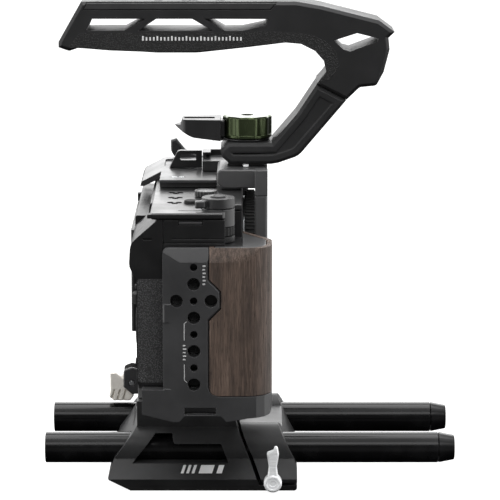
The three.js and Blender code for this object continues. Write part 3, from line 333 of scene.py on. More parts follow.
@dataclass(frozen=True)
class Walnut(Finish):
    """Oiled walnut with its grain upright, fine dark pores and darker growth bands."""

    light: Colour = (0.108, 0.075, 0.058)
    dark: Colour = (0.036, 0.026, 0.021)
    middle: Colour = (0.066, 0.046, 0.036)
    bright: Colour = (0.150, 0.108, 0.086)
    pore: Colour = (0.014, 0.009, 0.007)
    depth: float = 0.00008

    def lay(self, recipe: Recipe) -> Material:
        """Lays wavering bands, streaks and pores along Z."""
        sway = recipe.noise(recipe.place((1.0, 1.0, 0.15)), 140.0, 3.0, 0.55)
        bands = recipe.noise(recipe.place((1.0, 1.0, 0.05)), 620.0, 5.0, 0.62)
        streaks = recipe.noise(recipe.place((1.0, 1.0, 0.04)), 2100.0, 4.0, 0.7)
        pores = recipe.noise(recipe.place((1.0, 1.0, 0.05)), 3600.0, 2.0, 0.5)
        figure = (bands * 0.55 + sway * 0.35 + streaks * 0.75).between(0.58, 1.08)
        pits = pores.between(0.56, 0.68)
        stops = [(0.0, self.dark), (0.4, self.middle), (0.72, self.light), (1.0, self.bright)]
        colour = recipe.node("ShaderNodeValToRGB", {"stops": stops}, {0: figure})
        oiled = recipe.blend(pits * 0.75, colour, self.pore)
        rough = figure.between(0.0, 1.0, 0.58, 0.46) + pits * 0.2
        soft, _ = recipe.edges(0.0005)
        normal = recipe.bump(figure * 0.3 - pits, 0.5, self.depth, soft)
        return recipe.surface(Base_Color=oiled, Roughness=rough, Specular_IOR_Level=0.35, Normal=normal)


@dataclass(frozen=True)
class Moulded(Finish):
    """Moulded plastic or rubber with a fine eroded grain."""

    colour: Colour = (0.018, 0.018, 0.019)
    rough: float = 0.62
    grain: float = 3000.0
    depth: float = 0.00003
    edge: float = 0.0004
    shine: float = 0.4
    cloud_scale: float = 60.0

    def lay(self, recipe: Recipe) -> Material:
        """Lays grain and faint dust, and paints the edges lighter as a painted highlight."""
        where = recipe.place()
        grain = recipe.cells(where, self.grain)
        cloud = recipe.noise(where, self.cloud_scale, 4.0, 0.6)
        soft, edge = recipe.edges(self.edge)
        dusty = tuple(c * 1.7 + 0.004 for c in self.colour)
        tint = recipe.blend(cloud.between(0.4, 0.8, 0.0, 0.5), self.colour, dusty)
        # Painted highlight: the edges are blended towards a lighter colour.
        colour = recipe.blend(edge * 0.25, tint, tuple(c * 3.0 + 0.01 for c in self.colour))
        rough = cloud.between(0.3, 0.7, self.rough - 0.05, self.rough + 0.06) - edge * 0.12
        normal = recipe.bump(grain, 0.55, self.depth, soft)
        return recipe.surface(
            Base_Color=colour, Roughness=rough, Specular_IOR_Level=self.shine, Normal=normal
        )


@dataclass(frozen=True)
class Leatherette(Finish):
    """Pebbled leather-like covering on the camera's body."""

    colour: Colour = (0.030, 0.030, 0.031)
    pebble: float = 1700.0
    warp_scale: float = 700.0
    depth: float = 0.00016

    def lay(self, recipe: Recipe) -> Material:
        """Lays pebbles with creases between them, painted darker in the creases as painted shade and lighter
        on the pebbles as painted light.
        """
        where = recipe.place()
        warp = recipe.noise(where, self.warp_scale, 2.0)
        values = {"Vector": where, "Scale": self.pebble, "Smoothness": 0.25}
        pebbles = recipe.node("ShaderNodeTexVoronoi", {"feature": "SMOOTH_F1"}, values)
        crease = (pebbles + warp * 0.25).between(0.25, 0.72)
        # Painted shade and light: the creases take a darker colour and the pebble tops a lighter one.
        lit_pebble, sunk = (tuple(c * share for c in self.colour) for share in (1.9, 0.45))
        colour = recipe.blend(crease, lit_pebble, sunk)
        rough = crease.between(0.0, 1.0, 0.42, 0.7)
        normal = recipe.bump(1.0 - crease, 0.9, self.depth)
        return recipe.surface(Base_Color=colour, Roughness=rough, Specular_IOR_Level=0.5, Normal=normal)


@dataclass(frozen=True)
class Gloss(Finish):
    """Smooth gloss: a rod's anodising, screen glass or a lens."""

    colour: Colour = (0.008, 0.008, 0.009)
    rough: float = 0.16
    metal: float = 0.0
    stretch: Point = (4.0, 200.0, 200.0)
    coat: float = 0.0
    shine: float = 0.5
    edge: float = 0.0003
    line_scale: float = 9.0
    wipe_scale: float = 70.0

    def lay(self, recipe: Recipe) -> Material:
        """Lays faint draw lines and wipe marks, and paints the edges lighter as a painted highlight."""
        lines = recipe.noise(recipe.place(self.stretch), self.line_scale, 4.0, 0.6)
        wipe = recipe.noise(recipe.place(), self.wipe_scale, 3.0)
        soft, edge = recipe.edges(self.edge)
        lifted = tuple(c * 1.8 + 0.003 for c in self.colour)
        tint = recipe.blend(wipe.between(0.4, 0.8), self.colour, lifted)
        # Painted highlight: the edges are blended towards a lighter colour.
        colour = recipe.blend(edge * 0.3, tint, tuple(c * 3.0 + 0.02 for c in self.colour))
        rough = lines.between(0.3, 0.7, self.rough - 0.03, self.rough + 0.05) + wipe * 0.05
        normal = recipe.bump(lines, 0.12, 0.00001, soft)
        return recipe.surface(
            Base_Color=colour,
            Metallic=self.metal,
            Roughness=rough,
            Coat_Weight=self.coat,
            Specular_IOR_Level=self.shine,
            Normal=normal,
        )


@dataclass(frozen=True)
class Circuit(Finish):
    """A circuit board's solder mask with faint tracks."""

    colour: Colour = (0.012, 0.055, 0.025)
    track_scale: float = 420.0

    def lay(self, recipe: Recipe) -> Material:
        """Lays tracks in a square pattern."""
        values = {"Vector": recipe.place(), "Scale": self.track_scale}
        cells = recipe.node("ShaderNodeTexVoronoi", {"distance": "MANHATTAN"}, values)
        tracks = cells.between(0.4, 0.55)
        colour = recipe.blend(tracks, self.colour, tuple(c * 2.4 for c in self.colour))
        return recipe.surface(Base_Color=colour, Roughness=tracks.between(0.0, 1.0, 0.35, 0.25))


@dataclass(frozen=True)
class Floor(Finish):
    """The pale floor: it shows nearly white, with a faint shadow under the rig."""

    grey: Colour = (0.25, 0.25, 0.25)
    glow: float = 0.93

    def lay(self, recipe: Recipe) -> Material:
        """Lays an even glow under a weak matt surface."""
        return recipe.surface(
            Base_Color=self.grey,
            Roughness=1.0,
            Specular_IOR_Level=0.0,
            Emission_Color=(1.0, 1.0, 1.0, 1.0),
            Emission_Strength=self.glow,
        )


BLACK = Anodised("black_anodised", "black_anodised", (0.007, 0.007, 0.0073), (0.045, 0.045, 0.047), 0.36)
FRAME = Anodised(
    "handle_anodised", "black_anodised", (0.017, 0.017, 0.0175), (0.06, 0.06, 0.062), 0.48, shine=0.2
)
GREY = Anodised("grey_anodised", "grey_anodised", (0.026, 0.026, 0.027), (0.12, 0.12, 0.124), 0.36)
DULL = Anodised("dull_anodised", "grey_anodised", (0.022, 0.022, 0.023), (0.09, 0.09, 0.092), 0.5, shine=0.2)
# Painted light: a lighter copy of the grey anodising; its lighter colour stands for the light on the grip's
# lid and on the other parts that wear it.
LIT_GREY = Anodised("lit_grey_anodised", "grey_anodised", (0.048, 0.048, 0.049), (0.15, 0.15, 0.154), 0.34)
# Painted light: a lighter copy of the black anodising; its lighter colour stands for the light on the base's
# sloped flange.
BASE_LIT_BLACK = Anodised(
    "base_anodised_lit", "black_anodised", (0.022, 0.022, 0.0225), (0.12, 0.12, 0.122), 0.4, shine=0.2
)
STRIP = Anodised("strip_anodised", "rubber", (0.024, 0.024, 0.0245), (0.08, 0.08, 0.082), 0.42)
ROD = Gloss("rod_gloss", "rod_black", (0.004, 0.004, 0.0043), 0.17, shine=0.2)
SILVER = Polished("silver_plate", "silver", (0.92, 0.93, 0.94), 0.22, metal=0.15)
CHAMPAGNE = Polished("champagne_plate", "champagne", (0.90, 0.86, 0.79), 0.34, (30.0, 900.0, 30.0), metal=0.1)
STEEL = Polished("bare_steel", "steel", (0.45, 0.46, 0.47), 0.28, (900.0, 30.0, 30.0))
GREEN = Gloss("green_anodised", "green_anodised", (0.045, 0.058, 0.028), 0.2, 0.85, (300.0, 300.0, 6.0))
WALNUT = Walnut("walnut", "walnut")
SHELL = Moulded(
    "shell_paint", "camera_shell", (0.006, 0.006, 0.0063), 0.42, grain=3600.0, depth=0.00002, shine=0.3
)
DECK = Moulded(
    "deck_paint", "camera_shell", (0.014, 0.014, 0.0145), 0.36, grain=3600.0, depth=0.00002, shine=0.6
)
LEATHER = Leatherette("leather_cover", "camera_shell")
SKIN = Leatherette("dimpled_skin", "black_anodised", (0.005, 0.005, 0.0052), pebble=1500.0)
RUBBER = Moulded("rubber", "rubber", (0.010, 0.010, 0.010), 0.72, grain=2400.0, depth=0.00005)
GLASS = Gloss("screen_glass", "screen_glass", (0.003, 0.003, 0.0035), 0.05, stretch=(1.0, 1.0, 1.0), coat=1.0)
BOARD = Circuit("board", "board")
PRINT = Moulded("white_print", "grey_anodised", (0.42, 0.42, 0.42), 0.6, grain=4000.0, depth=0.00001)
WHITE = Moulded("white_mark", "black_anodised", (0.62, 0.62, 0.62), 0.55, grain=4000.0, depth=0.00001)


# ---------------------------------------------------------------- modelling
class Bench:
    """Blender's own modelling tools, used the way a hand would."""

    @staticmethod
    def clear() -> None:
        """Leaves edit mode and deselects everything."""
        if bpy.context.object and bpy.context.object.mode != "OBJECT":
            bpy.ops.object.mode_set(mode="OBJECT")
        bpy.ops.object.select_all(action="DESELECT")

    @classmethod
    def take(cls, piece: Shape) -> Shape:
        """Makes one piece the only selected and active one."""
        cls.clear()
        piece.select_set(True)
        bpy.context.view_layer.objects.active = piece
        return piece

    @classmethod
    def enter(cls, piece: Shape) -> None:
        """Opens a piece in edit mode with all of it selected."""
        cls.take(piece)
        bpy.ops.object.mode_set(mode="EDIT")
        bpy.ops.mesh.select_all(action="SELECT")

    @staticmethod
    def leave() -> None:
        """Leaves edit mode."""
        bpy.ops.object.mode_set(mode="OBJECT")

    @classmethod
    def settle(cls, name: str) -> Shape:
        """Names the new piece and moves its place into its mesh."""
        piece = bpy.context.object
        piece.name = name
        cls.take(piece)
        bpy.ops.object.transform_apply(location=True, rotation=True, scale=True)
        return piece

    @classmethod
    def block(cls, name: str, low: Point, high: Point) -> Shape:
        """A box between two corners, in millimetres."""
        cls.clear()
        middle = [(a + b) / 2 * MM for a, b in zip(low, high)]
        size = [(b - a) * MM for a, b in zip(low, high)]
        bpy.ops.mesh.primitive_cube_add(size=1.0, location=middle, scale=size)
        return cls.settle(name)

    @classmethod
    def drum(
        cls, name: str, at: Point, radius: float, depth: float, axis: Axis = Axis.Z, sides: int = 24
    ) -> Shape:
        """A cylinder round a point, in millimetres.

        Args:
            name: The piece's name.
            at: Its middle.
            radius: Its radius.
            depth: Its length along the axis.
            axis: The way that it points.
            sides: How many flats stand for the round.

        Returns:
            The cylinder.
        """
        cls.clear()
        bpy.ops.mesh.primitive_cylinder_add(
            vertices=sides,
            radius=radius * MM,
            depth=depth * MM,
            location=[v * MM for v in at],
            rotation=axis.value,
        )
        return cls.settle(name)

    @classmethod
    def pick(cls, piece: Shape, kind: str, chosen: Callable[[Any], bool]) -> int:
        """Enters edit mode with just the faces or edges that a test picks.

        Args:
            piece: The piece to edit.
            kind: "FACE" or "EDGE".
            chosen: Says whether a face or an edge is wanted.

        Returns:
            How many are selected.
        """
        cls.enter(piece)
        bpy.ops.mesh.select_mode(type=kind)
        bpy.ops.mesh.select_all(action="DESELECT")
        mesh = bmesh.from_edit_mesh(piece.data)
        wanted = [part for part in (mesh.faces if kind == "FACE" else mesh.edges) if chosen(part)]
        for part in wanted:
            part.select_set(True)
        bmesh.update_edit_mesh(piece.data)
        return len(wanted)

    @classmethod
    def faces(cls, piece: Shape, chosen: Callable[[Any], bool]) -> int:
        """Selects the faces that a test picks, and counts them."""
        return cls.pick(piece, "FACE", chosen)

    @classmethod
    def edges(cls, piece: Shape, chosen: Callable[[Any], bool]) -> int:
        """Selects the edges that a test picks, and counts them."""
        return cls.pick(piece, "EDGE", chosen)

    @classmethod
    def facing(cls, piece: Shape, way: Point) -> int:
        """Selects the faces that look one way, and counts them."""
        aim = Vector(way)
        return cls.faces(piece, lambda face: face.normal.dot(aim) > LOOKS)

    @staticmethod
    def inset(*steps: Flat) -> None:
        """Insets the selected faces step by step, each by a width and a rise in millimetres."""
        for width, rise in steps:
            bpy.ops.mesh.inset(thickness=width * MM, depth=rise * MM, use_even_offset=True)

    @classmethod
    def step(cls, piece: Shape, way: Point, *steps: Flat) -> Shape:
        """Insets the faces that look one way, step by step, in millimetres."""
        cls.facing(piece, way)
        cls.inset(*steps)
        cls.leave()
        return piece

    @classmethod
    def push(cls, piece: Shape, way: Point, by: Point) -> Shape:
        """Moves the faces that look one way, in millimetres."""
        cls.facing(piece, way)
        bpy.ops.transform.translate(value=[v * MM for v in by])
        cls.leave()
        return piece

    @classmethod
    def round(
        cls,
        piece: Shape,
        width: float,
        rings: int = 2,
        angle: float = SMOOTH_ANGLE,
        creases: Sequence[float] = (),
    ) -> None:
        """Rounds a piece's edges and smooths its curves.

        Args:
            piece: The piece to round.
            width: The rounding's width in millimetres.
            rings: How many faces cross it.
            angle: The smallest angle of an edge that is rounded, in degrees.
            creases: Heights in millimetres at which level lines stay sharp.
        """
        cls.take(piece)
        bevel = piece.modifiers.new("edges", "BEVEL")
        bevel.width = width * MM
        bevel.segments = rings
        bevel.limit_method = "ANGLE"
        bevel.angle_limit = math.radians(angle)
        bevel.use_clamp_overlap = True
        bpy.ops.object.modifier_apply(modifier=bevel.name)
        cls.smooth(piece, angle, creases)

    @classmethod
    def smooth(cls, piece: Shape, angle: float = SMOOTH_ANGLE, creases: Sequence[float] = ()) -> None:
        """Smooths curves up to an angle and keeps the flats flat.

        Args:
            piece: The piece to smooth.
            angle: The smallest angle that stays sharp, in degrees.
            creases: Heights in millimetres at which level lines stay sharp.
        """
        cls.take(piece)
        bpy.ops.object.shade_smooth_by_angle(angle=math.radians(angle))
        for height in creases:
            level = lambda edge: all(abs(v.co.z / MM - height) < 0.25 for v in edge.verts)
            cls.edges(piece, level)
            bpy.ops.mesh.mark_sharp()
            cls.leave()
        weight = piece.modifiers.new("flats", "WEIGHTED_NORMAL")
        weight.keep_sharp = True
        weight.weight = 80
        bpy.ops.object.modifier_apply(modifier=weight.name)

    @classmethod
    def slot(cls, name: str, low: Point, high: Point, axis: Axis = Axis.Z, radius: float = 0.0) -> Shape:
        """A block whose edges along one axis are rounded.

        Args:
            name: The piece's name.
            low: Its lowest corner in millimetres.
            high: Its highest corner in millimetres.
            axis: The axis that its round edges follow.
            radius: Their radius, or 0 for half of the narrower side.

        Returns:
            The rounded block.
        """
        piece = cls.block(name, low, high)
        along = list(Axis).index(axis)
        sides = [high[i] - low[i] for i in range(3) if i != along]
        cls.edges(piece, lambda edge: abs((edge.verts[0].co - edge.verts[1].co)[along]) > 1e-6)
        bpy.ops.mesh.bevel(offset=(radius or 0.499 * min(sides)) * MM, segments=5)
        cls.leave()
        return piece

    @classmethod
    def skin(cls, name: str, low: Sequence[Flat], high: Sequence[Flat], y: float, depth: float) -> Shape:
        """A thin skin that follows two lines across a face that looks along Y.

        Args:
            name: The piece's name.
            low: Its lower line as (x, z) in millimetres.
            high: Its upper line, with as many points.
            y: Where its inner side lies.
            depth: How far it reaches out, to -Y when negative.

        Returns:
            The skin.
        """
        count = len(low)
        bpy.ops.mesh.primitive_grid_add(x_subdivisions=count - 1, y_subdivisions=1, size=2.0)
        piece = cls.settle(name)
        bpy.ops.object.mode_set(mode="EDIT")
        bpy.ops.mesh.select_mode(type="VERT")
        mesh = bmesh.from_edit_mesh(piece.data)
        mesh.verts.ensure_lookup_table()
        rank = lambda i: (mesh.verts[i].co.y > 0, mesh.verts[i].co.x)
        order = sorted(range(len(mesh.verts)), key=rank)
        for index, (x, z) in zip(order, [*low, *high]):
            bpy.ops.mesh.select_all(action="DESELECT")
            mesh = bmesh.from_edit_mesh(piece.data)
            mesh.verts.ensure_lookup_table()
            vertex = mesh.verts[index]
            vertex.select_set(True)
            bmesh.update_edit_mesh(piece.data)
            shift = Vector((x * MM, y * MM, z * MM)) - vertex.co
            bpy.ops.transform.translate(value=shift)
        bpy.ops.mesh.select_all(action="SELECT")
        bpy.ops.mesh.extrude_region_move(TRANSFORM_OT_translate={"value": (0.0, depth * MM, 0.0)})
        bpy.ops.mesh.select_all(action="SELECT")
        bpy.ops.mesh.normals_make_consistent(inside=False)
        cls.leave()
        return piece

    @classmethod
    def wheel(cls, piece: Shape, name: str, at: Point, axis: Point, count: int) -> Shape:
        """Repeats a tooth all the way round an axis.

        Args:
            piece: The tooth, which is used up.
            name: The ring's name.
            at: A point on the axis in millimetres.
            axis: The axis.
            count: How many teeth there are.

        Returns:
            The ring of teeth.
        """
        cls.enter(piece)
        bpy.ops.mesh.spin(
            steps=count,
            dupli=True,
            angle=math.tau,
            center=[v * MM for v in at],
            axis=axis,
            use_auto_merge=False,
            use_normal_flip=False,
        )
        bpy.ops.mesh.select_all(action="SELECT")
        bpy.ops.mesh.remove_doubles(threshold=1e-6)
        bpy.ops.mesh.normals_make_consistent(inside=False)
        cls.leave()
        piece.name = name
        return piece

    @classmethod
    def carve(cls, piece: Shape, tool: Shape) -> None:
        """Cuts a piece with a tool, which is used up."""
        cls.take(piece)
        boolean = piece.modifiers.new("carve", "BOOLEAN")
        boolean.operation = "DIFFERENCE"
        boolean.solver = "EXACT"
        boolean.object = tool
        bpy.ops.object.modifier_apply(modifier=boolean.name)
        bpy.data.objects.remove(tool)

    @classmethod
    def merge(cls, name: str, parts: Sequence[Shape]) -> Shape:
        """Joins several shapes into one piece."""
        cls.take(parts[0])
        for part in parts[1:]:
            part.select_set(True)
        if len(parts) > 1:
            bpy.ops.object.join()
        parts[0].name = name
        return parts[0]

    @classmethod
    def from_frame(cls, node: str) -> Shape:
        """A merged copy of a frame node's mesh, with its flat faces whole again."""
        source = NODES[node]
        twin = source.copy()
        twin.data = source.data.copy()
        twin.name = f"{node}_fine"
        twin.parent = None
        for key in list(twin.keys()):
            del twin[key]
        twin.data.materials.clear()
        bpy.context.scene.collection.objects.link(twin)
        cls.take(twin)
        bpy.ops.mesh.customdata_custom_splitnormals_clear()
        cls.enter(twin)
        bpy.ops.mesh.remove_doubles(threshold=2e-6)
        bpy.ops.mesh.dissolve_limited(angle_limit=math.radians(1.0))
        cls.leave()
        return twin


@dataclass(frozen=True)
class Patch:
    """A block on a face that looks to -Y, in millimetres; it is rounded when it has a radius."""

    x: Flat
    z: Flat
    out: float
    into: float
    radius: float = 0.0

    def lay(self, name: str, face: float) -> Shape:
        """The block, from out of the face into what lies behind it."""
        low = (self.x[0], face - self.out, self.z[0])
        high = (self.x[1], face + self.into, self.z[1])
        if self.radius:
            return Bench.slot(name, low, high, Axis.Y, self.radius)
        return Bench.block(name, low, high)


NODES: dict[str, Shape] = {}


@dataclass
class Assembly:
    """A sub-assembly: it refines its nodes, adds details and dresses both."""

    body: str = "rig"

    def dress(self, piece: Shape, finish: Finish, body: str | None = None) -> Shape:
        """Gives a piece its finish and the body that it rides on.

        Args:
            piece: The piece.
            finish: What it wears.
            body: The body that it rides on, if not the assembly's own.

        Returns:
            The piece.
        """
        piece.data.materials.clear()
        piece.data.materials.append(finish.material())
        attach(piece, body or self.body)
        LOG.info("%s: %s on %s", piece.name, finish.name, body or self.body)
        return piece

    def refine(
        self,
        node: str,
        finish: Finish,
        width: float = 0.35,
        body: str | None = None,
        tools: Iterable[Shape] = (),
        shaped: Callable[[Shape], None] | None = None,
        angle: float = SMOOTH_ANGLE,
        creases: Sequence[float] = (),
    ) -> Shape:
        """Puts a rounded and carved copy in a frame node's place.

        Args:
            node: The frame node.
            finish: What the copy wears.
            width: The rounding of its edges in millimetres; 0 keeps them sharp.
            body: The body that it rides on, if not the assembly's own.
            tools: Shapes cut out of it first.
            shaped: Edits that it gets before its edges are rounded.
            angle: The smallest angle of an edge that is rounded.
            creases: Heights in millimetres at which level lines stay sharp.

        Returns:
            The refined piece.
        """
        piece = Bench.from_frame(node)
        for tool in tools:
            Bench.carve(piece, tool)
        if shaped:
            shaped(piece)
            Bench.clear()
        Bench.round(piece, max(width, 0.02), 2 if width else 1, angle, creases)
        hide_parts(node)
        return self.dress(piece, finish, body)

    def add(
        self,
        name: str,
        parts: Sequence[Shape],
        finish: Finish,
        width: float = 0.15,
        body: str | None = None,
    ) -> Shape:
        """Joins new shapes into one dressed piece.

        Args:
            name: The piece's name.
            parts: Its shapes.
            finish: What it wears.
            width: The rounding of its edges in millimetres; 0 keeps them sharp.
            body: The body that it rides on, if not the assembly's own.

        Returns:
            The piece.
        """
        piece = Bench.merge(name, parts)
        if width:
            Bench.round(piece, width)
        else:
            Bench.smooth(piece)
        return self.dress(piece, finish, body)

    def keep(self, finish: Finish, *nodes: str) -> None:
        """Dresses frame nodes whose shape is right as it is."""
        for node in nodes:
            materials = NODES[node].data.materials
            materials.clear()
            materials.append(finish.material())

    def build(self) -> None:
        """Makes the sub-assembly."""
        raise NotImplementedError


# ---------------------------------------------------------------- sub-assemblies
@dataclass
class Rods(Assembly):
    """The two support rods and their tapered caps."""

    spacing: float = 60.0
    height: float = 17.5
    end: float = 100.0
    socket: Flat = (2.3, 5.0)

    def build(self) -> None:
        """Refines both rods and sinks a socket in each cap."""
        for side, sign in SIDES:
            body = f"rod_{side}"
            self.refine(f"rod_{side}", ROD, 0.3, body)
            at = (self.end, sign * self.spacing / 2, self.height)
            socket = Bench.drum("socket", at, *self.socket, Axis.X, 6)
            self.refine(f"rod_cap_{side}", ROD, 0.4, body, [socket])


@dataclass
class Baseplate(Assembly):
    """The base, its rod clamps, the quick-release plate and the rear lock."""

    flange_near: float = -46.05
    flange_height: float = 10.75
    flange_slope: float = 45.0
    mark_rear: float = -33.5
    bars: tuple[Flat, ...] = ((0.0, 1.3), (2.6, 1.3), (5.2, 1.3), (8.6, 6.5), (17.2, 2.6))
    bar_half: float = 2.3
    bar_slant: float = 1.3
    ink: float = 0.06
    lever: Point = (11.0, -50.35, 5.7)
    hub_reach: float = 6.5
    hub_area: float = 20e-6
    hub_steps: tuple[Flat, ...] = ((0.7, 0.0), (0.25, -0.35), (1.1, 0.0), (0.15, -0.5))

    def mark(self) -> None:
        """Prints a plain mark of slanted bars on the base's near flange."""
        bars = []
        for place, width in self.bars:
            start = self.mark_rear + place
            low = (start, -self.bar_half, -self.ink)
            bar = Bench.block("bar", low, (start + width, self.bar_half, self.ink))
            bars.append(Bench.push(bar, (0.0, 1.0, 0.0), (self.bar_slant, 0.0, 0.0)))
        mark = Bench.merge("base_mark", bars)
        Bench.take(mark)
        mark.rotation_euler = (math.radians(self.flange_slope), 0.0, 0.0)
        mark.location = (0.0, self.flange_near * MM, self.flange_height * MM)
        bpy.ops.object.transform_apply(location=True, rotation=True, scale=True)
        Bench.smooth(mark)
        self.dress(mark, WHITE)

    def lever_face(self, sign: int) -> Callable[[Shape], None]:
        """Gives a clamp lever's hub its ring and socket.

        Args:
            sign: -1 for the near lever and 1 for the far one.

        Returns:
            The edit.
        """

        def shape(piece: Shape) -> None:
            """Insets the hub's outer face."""
            x, y, z = (v * MM for v in self.lever)
            at = Vector((x, sign * abs(y), z))
            hub = lambda face: (
                face.normal.y * sign > LOOKS
                and (face.calc_center_median() - at).length < self.hub_reach * MM
                and face.calc_area() > self.hub_area
            )
            if Bench.faces(piece, hub):
                Bench.inset(*self.hub_steps)

        return shape

    def build(self) -> None:
        """Refines the base's parts and adds the mark."""
        # The base and its jaws wear the lighter copy of the black anodising, painted light for the lit
        # flange.
        self.refine("base_body", BASE_LIT_BLACK, 0.45)
        for side, sign in SIDES:
            lever = f"clamp_lever_{side}"
            self.refine(f"rod_jaw_{side}", BASE_LIT_BLACK, 0.45, f"jaw_{side}")
            self.refine(lever, SILVER, 0.4, f"clamp_{side}", shaped=self.lever_face(sign))
            self.keep(STEEL, f"clamp_screw_{side}")
        self.mark()
        self.refine("quick_release_plate", BLACK, 0.4)
        self.keep(RUBBER, "plate_pad")
        self.keep(STEEL, "camera_screw", "lock_pin")
        self.refine("lock_housing", GREY, 0.35)
        self.refine("lock_lever", CHAMPAGNE, 0.3, "lock_lever")


@dataclass
class Camera(Assembly):
    """The camera body with its controls, screen and covers."""

    deck: float = 143.3
    right: float = -84.0
    rear: float = -52.6
    seam: Patch = Patch((-43.0, -11.0), (129.0, 129.5), REACH, 0.3)
    upper_seam: Patch = Patch((-36.0, -11.0), (131.0, 131.4), REACH, 0.25)
    port: Patch = Patch((-33.4, -21.6), (137.6, 141.2), REACH, 1.2, 0.5)
    port_lip: Patch = Patch((-32.8, -22.2), (138.0, 139.2), -0.2, 1.0, 0.3)
    notch: Patch = Patch((-49.6, -45.3), (130.6, 131.6), REACH, 0.9, 0.4)
    deck_lip: Patch = Patch((-47.5, -12.6), (140.9, 142.7), 0.2, 0.2, 0.3)
    side_cover: Patch = Patch((-52.2, -24.0), (63.2, 112.4), 0.28, 0.1, 1.2)
    back_cover: tuple[Point, Point] = ((-52.9, -82.0, 63.8), (-52.4, -33.0, 98.0))
    slit: tuple[Flat, Flat] = ((-33.4, -21.5), (-77.3, -76.3))
    slit_depth: float = 0.8
    vent_rows: Point = (-27.4, -41.5, -55.6)
    vent_columns: tuple[Flat, ...] = ((-39.0, 1.1), (-37.0, -1.1), (-35.0, 1.1))
    vent_width: float = 2.9
    vent_half: float = 2.0
    vent_depth: float = 2.2
    pad: Flat = (-56.0, 84.0)
    pad_ring: Point = (0.6, 8.2, 1.6)
    pad_hub: Point = (0.7, 4.0, 1.6)
    pad_steps: tuple[Flat, ...] = ((2.6, 0.0), (0.3, -0.7))
    keys: tuple[Flat, ...] = ((-44.0, 104.0), (-68.0, 104.5), (-44.0, 69.0), (-68.0, 69.0))
    key: Point = (0.5, 2.3, 1.8)
    key_step: Flat = (0.8, -0.15)
    pointer: tuple[Flat, Flat] = ((-21.3, -20.7), (-41.4, -39.4))
    pointer_rise: Flat = (2.6, 2.98)
    thumb: Point = (-49.6, -75.0, 101.8)
    thumb_radius: float = 5.6
    thumb_length: float = 5.0
    tooth_root: float = 0.9
    tooth_tip: float = 0.05
    tooth_half: Flat = (0.22, 2.2)
    teeth: int = 44
    dish_steps: tuple[Flat, ...] = ((0.5, 0.0), (0.2, -0.25))
    lens: Point = (0.0, 0.0, 107.1)
    cap_span: Flat = (-2.9, 3.3)
    cap_radius: float = 33.0
    cap_back: Flat = (2.0, -1.6)
    cap_front: tuple[Flat, ...] = ((1.6, 0.0), (0.5, -0.6), (5.5, 0.0), (0.4, 0.35))
    rib_root: float = 1.4
    rib_tip: float = 0.02
    rib_half: float = 0.5
    rib_ends: Flat = (0.5, 0.9)
    rib_taper: Point = (0.86, 0.62, 1.0)
    cap_ribs: int = 104

    def on_deck(self, name: str, area: tuple[Flat, Flat], sink: float, rise: float = REACH) -> Shape:
        """A rounded block in or on the deck.

        Args:
            name: The piece's name.
            area: Its ranges along X and Y.
            sink: How far it reaches under the deck's face.
            rise: How far it stands over it.

        Returns:
            The block.
        """
        (rear, front), (near, far) = area
        low = (rear, near, self.deck - sink)
        return Bench.slot(name, low, (front, far, self.deck + rise))

    def on_back(self, name: str, at: Flat, size: Point, sides: int = 24) -> Shape:
        """A drum on the camera's back.

        Args:
            name: The piece's name.
            at: Its middle along Y and Z.
            size: How far its middle stands out, its radius and its depth.
            sides: How many flats stand for the round.

        Returns:
            The drum.
        """
        out, radius, depth = size
        return Bench.drum(name, (self.rear - out, *at), radius, depth, Axis.X, sides)

    def vents(self) -> list[Shape]:
        """The tools for the deck's slit and its rows of staggered vents."""
        tools = [self.on_deck("slit", self.slit, self.slit_depth)]
        for row in self.vent_rows:
            for x, shift in self.vent_columns:
                y = row + shift
                area = ((x, x + self.vent_width), (y - self.vent_half, y + self.vent_half))
                tools.append(self.on_deck("vent", area, self.vent_depth))
        return tools

    def shells(self) -> None:
        """Refines the two shells and the deck, with their seams, vents and slots."""
        tools = [
            self.seam.lay("seam", self.right),
            self.upper_seam.lay("seam", self.right),
            self.port.lay("port", self.right),
        ]
        self.refine("camera_front_shell", SHELL, 0.4, tools=tools)
        # Painted highlight: the lip in the port wears the lighter grey anodising, standing for the light on
        # the port's lower edge.
        self.add("port_lip_lit", [self.port_lip.lay("port_lip", self.right)], GREY, 0.12)
        notch = self.notch.lay("notch", self.right)
        self.refine("camera_rear_shell", SHELL, 0.8, tools=[notch], angle=38.0)
        self.refine("camera_top_cover", DECK, 0.3, tools=self.vents())
        self.add("deck_lip", [self.deck_lip.lay("lip", self.right)], SHELL, 0.12)

    def covering(self) -> None:
        """Lays the pebbled covering on the body's side and back."""
        side = self.side_cover.lay("side_cover", self.right)
        self.add("side_cover", [side], LEATHER, 0.12)
        back = Bench.slot("back_cover", *self.back_cover, Axis.X, 1.5)
        self.add("back_cover", [back], LEATHER, 0.12)

    def back_controls(self) -> None:
        """Adds the ring pad and the buttons on the camera's back."""
        ring = self.on_back("ring", self.pad, self.pad_ring, 40)
        Bench.step(ring, BACK, *self.pad_steps)
        hub = self.on_back("hub", self.pad, self.pad_hub, 32)
        self.add("control_ring", [ring, hub], RUBBER, 0.2)
        keys = []
        for at in self.keys:
            key = self.on_back("key", at, self.key)
            keys.append(Bench.step(key, BACK, self.key_step))
        self.add("back_keys", keys, SHELL, 0.15)

    def thumb_wheel(self) -> None:
        """Builds the knurled wheel in the plain rear dial's place."""
        x, y, z = self.thumb
        across, along = self.tooth_half
        rim = x + self.thumb_radius
        radius = self.thumb_radius - self.tooth_root / 2
        core = Bench.drum("core", self.thumb, radius, self.thumb_length, sides=48)
        low = (rim - self.tooth_root, y - across, z - along)
        tooth = Bench.block("tooth", low, (rim - self.tooth_tip, y + across, z + along))
        teeth = Bench.wheel(tooth, "teeth", self.thumb, (0.0, 0.0, 1.0), self.teeth)
        wheel = self.add("rear_dial_fine", [core, teeth], RUBBER, 0.0, "rear_dial")
        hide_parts("rear_dial")

